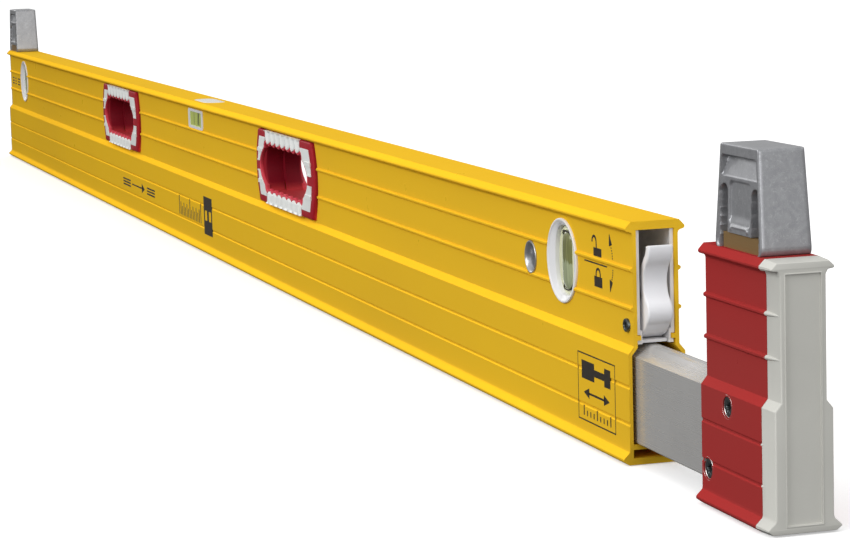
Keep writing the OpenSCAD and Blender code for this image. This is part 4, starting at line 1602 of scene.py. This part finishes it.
@dataclass
class Print:
    """Generic printed marks on both long faces: pictograms and scales, with no lettering."""

    finishes: Finishes
    upper: float = 12.6
    lower: float = 15.8
    film: float = 0.07

    def __post_init__(self) -> None:
        """Starts the mesh that holds every mark."""
        self.shell = Shell()
        self.mouth = NodeBox("main_beam").high[0]
        self.far = NodeBox("main_beam").low[0]

    def put(self, flat: Array, side: Side, wall: float) -> None:
        """Prints one shape on a wall."""
        self.shell.plate(flat, wall + self.film, wall - 0.05, side)

    def frame(self, x0: float, z0: float, x1: float, z1: float, t: float, side: Side) -> None:
        """Four bars round a rectangle on the lower wall.

        Args:
            x0: Left edge.
            z0: Lower edge.
            x1: Right edge.
            z1: Upper edge.
            t: Thickness of the bars.
            side: The face wanted.
        """
        for a, b, c, d in (
            (x0, z0, x1, z0 + t),
            (x0, z1 - t, x1, z1),
            (x0, z0 + t, x0 + t * 0.9, z1 - t),
            (x1 - t * 0.9, z0 + t, x1, z1 - t),
        ):
            self.put(bar_grid(a, b, c, d), side, self.lower)

    def padlock(self, x: float, z: float, opened: bool, side: Side) -> None:
        """A small padlock: a body and a shackle, which stands off to one side when open.

        Args:
            x: Middle of the body.
            z: Middle of the body.
            opened: Draw it open.
            side: The face wanted.
        """
        k = 1.4
        self.put(bar_grid(x - 4.2 * k, z - 3.4 * k, x + 4.2 * k, z + 0.6 * k), side, self.upper)
        rise, shift = (1.3 * k, 3.4 * k) if opened else (0.0, 0.0)
        cx, cz, r0, r1 = x - shift, z + 1.4 * k + rise, 1.7 * k, 2.7 * k
        self.put(ring_grid(cx, cz, r0, r1, 0, 180), side, self.upper)
        self.put(bar_grid(cx + r0, z + 0.4 * k, cx + r1, cz), side, self.upper)
        foot = cz - (0.2 if opened else 1.2) * k
        self.put(bar_grid(cx - r1, foot, cx - r0, cz), side, self.upper)

    def arrow(
        self, x: float, z: float, dx: float, dz: float, size: float, wall: float, side: Side
    ) -> None:
        """A solid arrow head whose tip is at x, z and which points along dx, dz.

        Args:
            x: The tip.
            z: The tip.
            dx: Direction along X.
            dz: Direction along Z.
            size: Its length.
            wall: The wall's distance from the middle plane.
            side: The face wanted.
        """
        tip = np.array([x, z])
        along = np.array([dx, dz]) / math.hypot(dx, dz)
        across = np.array([-along[1], along[0]])
        base = tip - along * size
        wide = across * size * 0.36
        point = wide * 0.05
        self.put(np.array([[base - wide, base + wide], [tip - point, tip + point]]), side, wall)

    def lever_marks(self, side: Side) -> None:
        """Dotted swing path with an arrow at each end, a middle line and two padlocks.

        Args:
            side: The face wanted.
        """
        x = self.mouth
        for start, end, tip, point in (
            ((-31.6, 111.5), (-28.9, 104.6), (-33.2, 117.4), (-0.28, 1.0)),
            ((-28.6, 98.4), (-31.0, 92.2), (-33.0, 86.4), (-0.3, -1.0)),
        ):
            for k in np.linspace(0, 1, 6):
                cx = x + start[0] + (end[0] - start[0]) * k + 0.7 * math.sin(math.pi * k)
                cz = start[1] + (end[1] - start[1]) * k
                self.put(ring_grid(cx, cz, 0.02, 0.52, 0, 360), side, self.upper)
            self.arrow(x + tip[0], tip[1], point[0], point[1], 6.4, self.upper, side)
        self.put(bar_grid(x - 71.0, 98.9, x - 37.0, 99.7), side, self.upper)
        self.padlock(x - 51.0, 107.0, True, side)
        self.padlock(x - 50.5, 91.6, False, side)

    def reach_panel(self, side: Side) -> None:
        """Panel near the mouth: a drawn-out instrument with a double arrow, and a clean wedge.

        Args:
            side: The face wanted.
        """
        x0, x1, z0, z1 = self.mouth - 76.0, self.mouth - 20.0, 12.4, 49.6
        self.frame(x0, z0, x1, z1, 0.75, side)
        cx = (x0 + x1) / 2
        put = self.put
        put(bar_grid(x0 + 6, 35.5, cx - 3, 45.5), side, self.lower)
        put(bar_grid(cx - 3, 38.6, cx + 12, 42.4), side, self.lower)
        put(bar_grid(cx + 12, 35.5, x1 - 7, 45.5), side, self.lower)
        put(bar_grid(cx - 12, 27.6, cx + 12, 28.8), side, self.lower)
        self.arrow(cx + 19, 28.2, 1, 0, 8.0, self.lower, side)
        self.arrow(cx - 19, 28.2, -1, 0, 8.0, self.lower, side)
        for k in range(9):
            tall = 5.4 if k % 4 == 0 else 3.0
            at = x0 + 8 + k * 5
            put(bar_grid(at, 15.4, at + 1.3, 15.4 + tall), side, self.lower)

    def direction(self, side: Side) -> None:
        """A long arrow between two stacks of bars that stand for wall plates.

        Args:
            side: The face wanted.
        """
        x = self.mouth - 1304.0
        self.put(bar_grid(x, 30.3, x + 50, 31.6), side, self.lower)
        self.arrow(x + 59, 30.95, 1, 0, 13.0, self.lower, side)
        for x0 in (x - 43, x + 70):
            for k in range(3):
                self.put(bar_grid(x0, 27.4 + 2.7 * k, x0 + 36, 28.9 + 2.7 * k), side, self.lower)

    def scale_mark(self, side: Side) -> None:
        """A run of tick marks and a plain block with a vial cut out of it.

        Args:
            side: The face wanted.
        """
        x = self.mouth - 1092.0
        for k in range(15):
            tall = 17.0 if k % 7 == 0 else (11.5 if k % 2 else 8.0)
            at = x + k * 6.1
            self.put(bar_grid(at, 23.5, at + 2.2, 23.5 + tall), side, self.lower)
        x0, x1, z0, z1 = self.mouth - 993.0, self.mouth - 962.0, 16.0, 48.4
        low, high = 28.0, 36.6
        for a, b, c, d in (
            (x0, z0, x1, low),
            (x0, high, x1, z1),
            (x0, low, x0 + 4, high),
            (x1 - 4, low, x1, high),
            (x0 + 12.2, low, x0 + 18.8, high),
        ):
            self.put(bar_grid(a, b, c, d), side, self.lower)

    def far_label(self, side: Side) -> None:
        """Short bars beside the far vial.

        Args:
            side: The face wanted.
        """
        for k, wide in enumerate((12.0, 8.0, 15.0)):
            x0 = self.far + 12 + 19 * k
            for z in (88.0, 91.2, 94.4):
                self.put(bar_grid(x0, z, x0 + wide, z + 1.5), side, self.upper)

    def build(self) -> None:
        """Prints every mark on both faces."""
        for side in Side:
            self.lever_marks(side)
            self.reach_panel(side)
            self.direction(side)
            self.scale_mark(side)
            self.far_label(side)
        piece = self.shell.build("printed_marks")
        place_piece(piece, "frame", self.finishes.ink)


@dataclass
class PlainNodes:
    """CAD nodes whose shape is right and which only take a finish."""

    finishes: Finishes
    nodes: dict

    def build(self) -> None:
        """Gives each node the finish of its slot in the record."""
        every = [getattr(self.finishes, key) for key in vars(self.finishes)]
        by_slot = {finish.slot: finish for finish in every}
        for part in self.nodes["record"]["subparts"]:
            piece = self.nodes["nodes"][part["node"]]
            material = by_slot[part["material_slot"]].material()
            if not piece.material_slots:
                piece.data.materials.append(material)
            for slot in piece.material_slots:
                slot.material = material
            LOG.info("%s takes %s", part["node"], material.name)


# ---------------------------------------------------------------- studio


@dataclass(frozen=True)
class Softbox:
    """A square lamp that looks at a point."""

    name: str
    place: tuple
    target: tuple
    size: tuple
    watts: float

    def build(self) -> None:
        """Makes the lamp."""
        lamp = bpy.data.lights.new(self.name, "AREA")
        lamp.shape = "RECTANGLE"
        lamp.size, lamp.size_y = self.size
        lamp.energy = self.watts
        holder = bpy.data.objects.new(self.name, lamp)
        holder.location = self.place
        aim = Vector(self.target) - Vector(self.place)
        holder.rotation_euler = aim.to_track_quat("-Z", "Y").to_euler()
        holder.visible_camera = False
        bpy.context.scene.collection.objects.link(holder)


@dataclass(frozen=True)
class Studio:
    """Camera, floor, sky and lamps."""

    eye: tuple = (2.267893, -0.532784, 0.294089)
    look: tuple = (-0.948208, 0.290648, -0.128162)
    roll: float = -0.027562
    lens: float = 118.573
    shift: tuple = (0.0001, -0.0152)
    sky: tuple = (0.10, 0.80)
    floor_z: float = -0.0004
    lamps: tuple = (
        Softbox("key", (1.25, -2.5, 1.4), (0.45, 0, 0.06), (2.4, 1.6), 50.0),
        Softbox("far_glow", (-4.6, -0.9, 1.5), (0, 0, 0.06), (2.0, 1.4), 21.0),
        Softbox("mouth_fill", (1.012, -0.01, 0.112), (0.93, 0.003, 0.1), (0.03, 0.03), 0.012),
        Softbox("end_fill", (4.6, 0.2, 0.9), (1.0, 0, 0.08), (1.5, 1.5), 32.0),
    )

    def camera(self) -> None:
        """Makes the camera, which looks along a direction and is rolled about it."""
        data = bpy.data.cameras.new("camera")
        data.lens = self.lens
        data.sensor_width = 36.0
        data.shift_x, data.shift_y = self.shift
        data.clip_start, data.clip_end = 0.05, 50.0
        forward = Vector(self.look).normalized()
        right = forward.cross(Vector((0, 0, 1))).normalized()
        up = right.cross(forward)
        turned = right * math.cos(self.roll) + up * math.sin(self.roll)
        over = turned.cross(forward)
        spin = Matrix((turned, over, -forward)).transposed().to_4x4()
        holder = bpy.data.objects.new("camera", data)
        holder.matrix_world = Matrix.Translation(Vector(self.eye)) @ spin
        bpy.context.scene.collection.objects.link(holder)
        bpy.context.scene.camera = holder

    def floor(self) -> None:
        """A wide plain floor, just under the instrument."""
        mesh = bpy.data.meshes.new("floor")
        half = 14.0
        mesh.from_pydata(
            [(-half, -half, 0), (half, -half, 0), (half, half, 0), (-half, half, 0)], [], [(0, 1, 2, 3)]
        )
        mesh.transform(Matrix.Translation((0, 0, self.floor_z)))
        floor = bpy.data.objects.new("floor", mesh)
        graph = Graph("floor_white")
        tone = graph.noise(0.8, 2.0).between(0.2, 0.8)
        material = graph.surface(
            Base_Color=tone.blend((0.95, 0.95, 0.95), (0.93, 0.93, 0.93)),
            Roughness=0.9,
            Emission_Color=(1.0, 1.0, 1.0),
            Emission_Strength=0.35,
        )
        mesh.materials.append(material)
        bpy.context.scene.collection.objects.link(floor)
        floor.visible_diffuse = False
        floor.visible_glossy = False

    def build(self) -> None:
        """Sets up the whole studio."""
        scene = bpy.context.scene
        scene.view_settings.view_transform = "Standard"
        graph = Graph("studio_sky", world=True)
        height = graph.node("ShaderNodeSeparateXYZ", {"Vector": graph.place}, output="Z")
        low, high = self.sky
        tone = height.between(-0.1, 0.5).blend((low,) * 3, (high,) * 3)
        glow = graph.node("ShaderNodeBackground", {"Color": tone, "Strength": 1.0})
        graph.node("ShaderNodeOutputWorld", {"Surface": glow})
        scene.world = graph.material
        self.camera()
        self.floor()
        for lamp in self.lamps:
            lamp.build()


def main() -> None:
    """Builds the studio, the finishes and every piece, in order."""
    logging.basicConfig(level=logging.INFO, format="%(name)s %(message)s")
    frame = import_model()
    Studio().build()
    finishes = Finishes()
    PlainNodes(finishes, frame).build()
    for prefix in ("left", "right"):
        Grip(prefix, finishes).build()
        PlumbVial(prefix, finishes).build()
    CentreVial(finishes).build()
    Lever(finishes).build()
    Standoff("fixed", "frame", finishes).build()
    Standoff("sliding", "extension", finishes).build()
    HeadCap(finishes).build()
    screws, screw_r = NodeBox("head_screws"), 4.9
    ends = ((*screws.low[::2], screw_r), (*screws.high[::2], -screw_r))
    spots = tuple((x + d, z + d) for x, z, d in ends)
    SocketScrews("head_screws", "extension", finishes.zinc, spots, screw_r, 2.9, 2.3).build()
    pivot = NodeBox("pivot_screws")
    spot = ((pivot.centre[0], pivot.centre[2]),)
    pivot_r = (pivot.high[0] - pivot.low[0]) / 2
    SocketScrews("pivot_screws", "frame", finishes.zinc, spot, pivot_r, 1.9, pivot_r * 0.5).build()
    HangSleeves(finishes).build()
    Countersinks(finishes).build()
    Print(finishes).build()


if __name__ == "__main__":
    main()
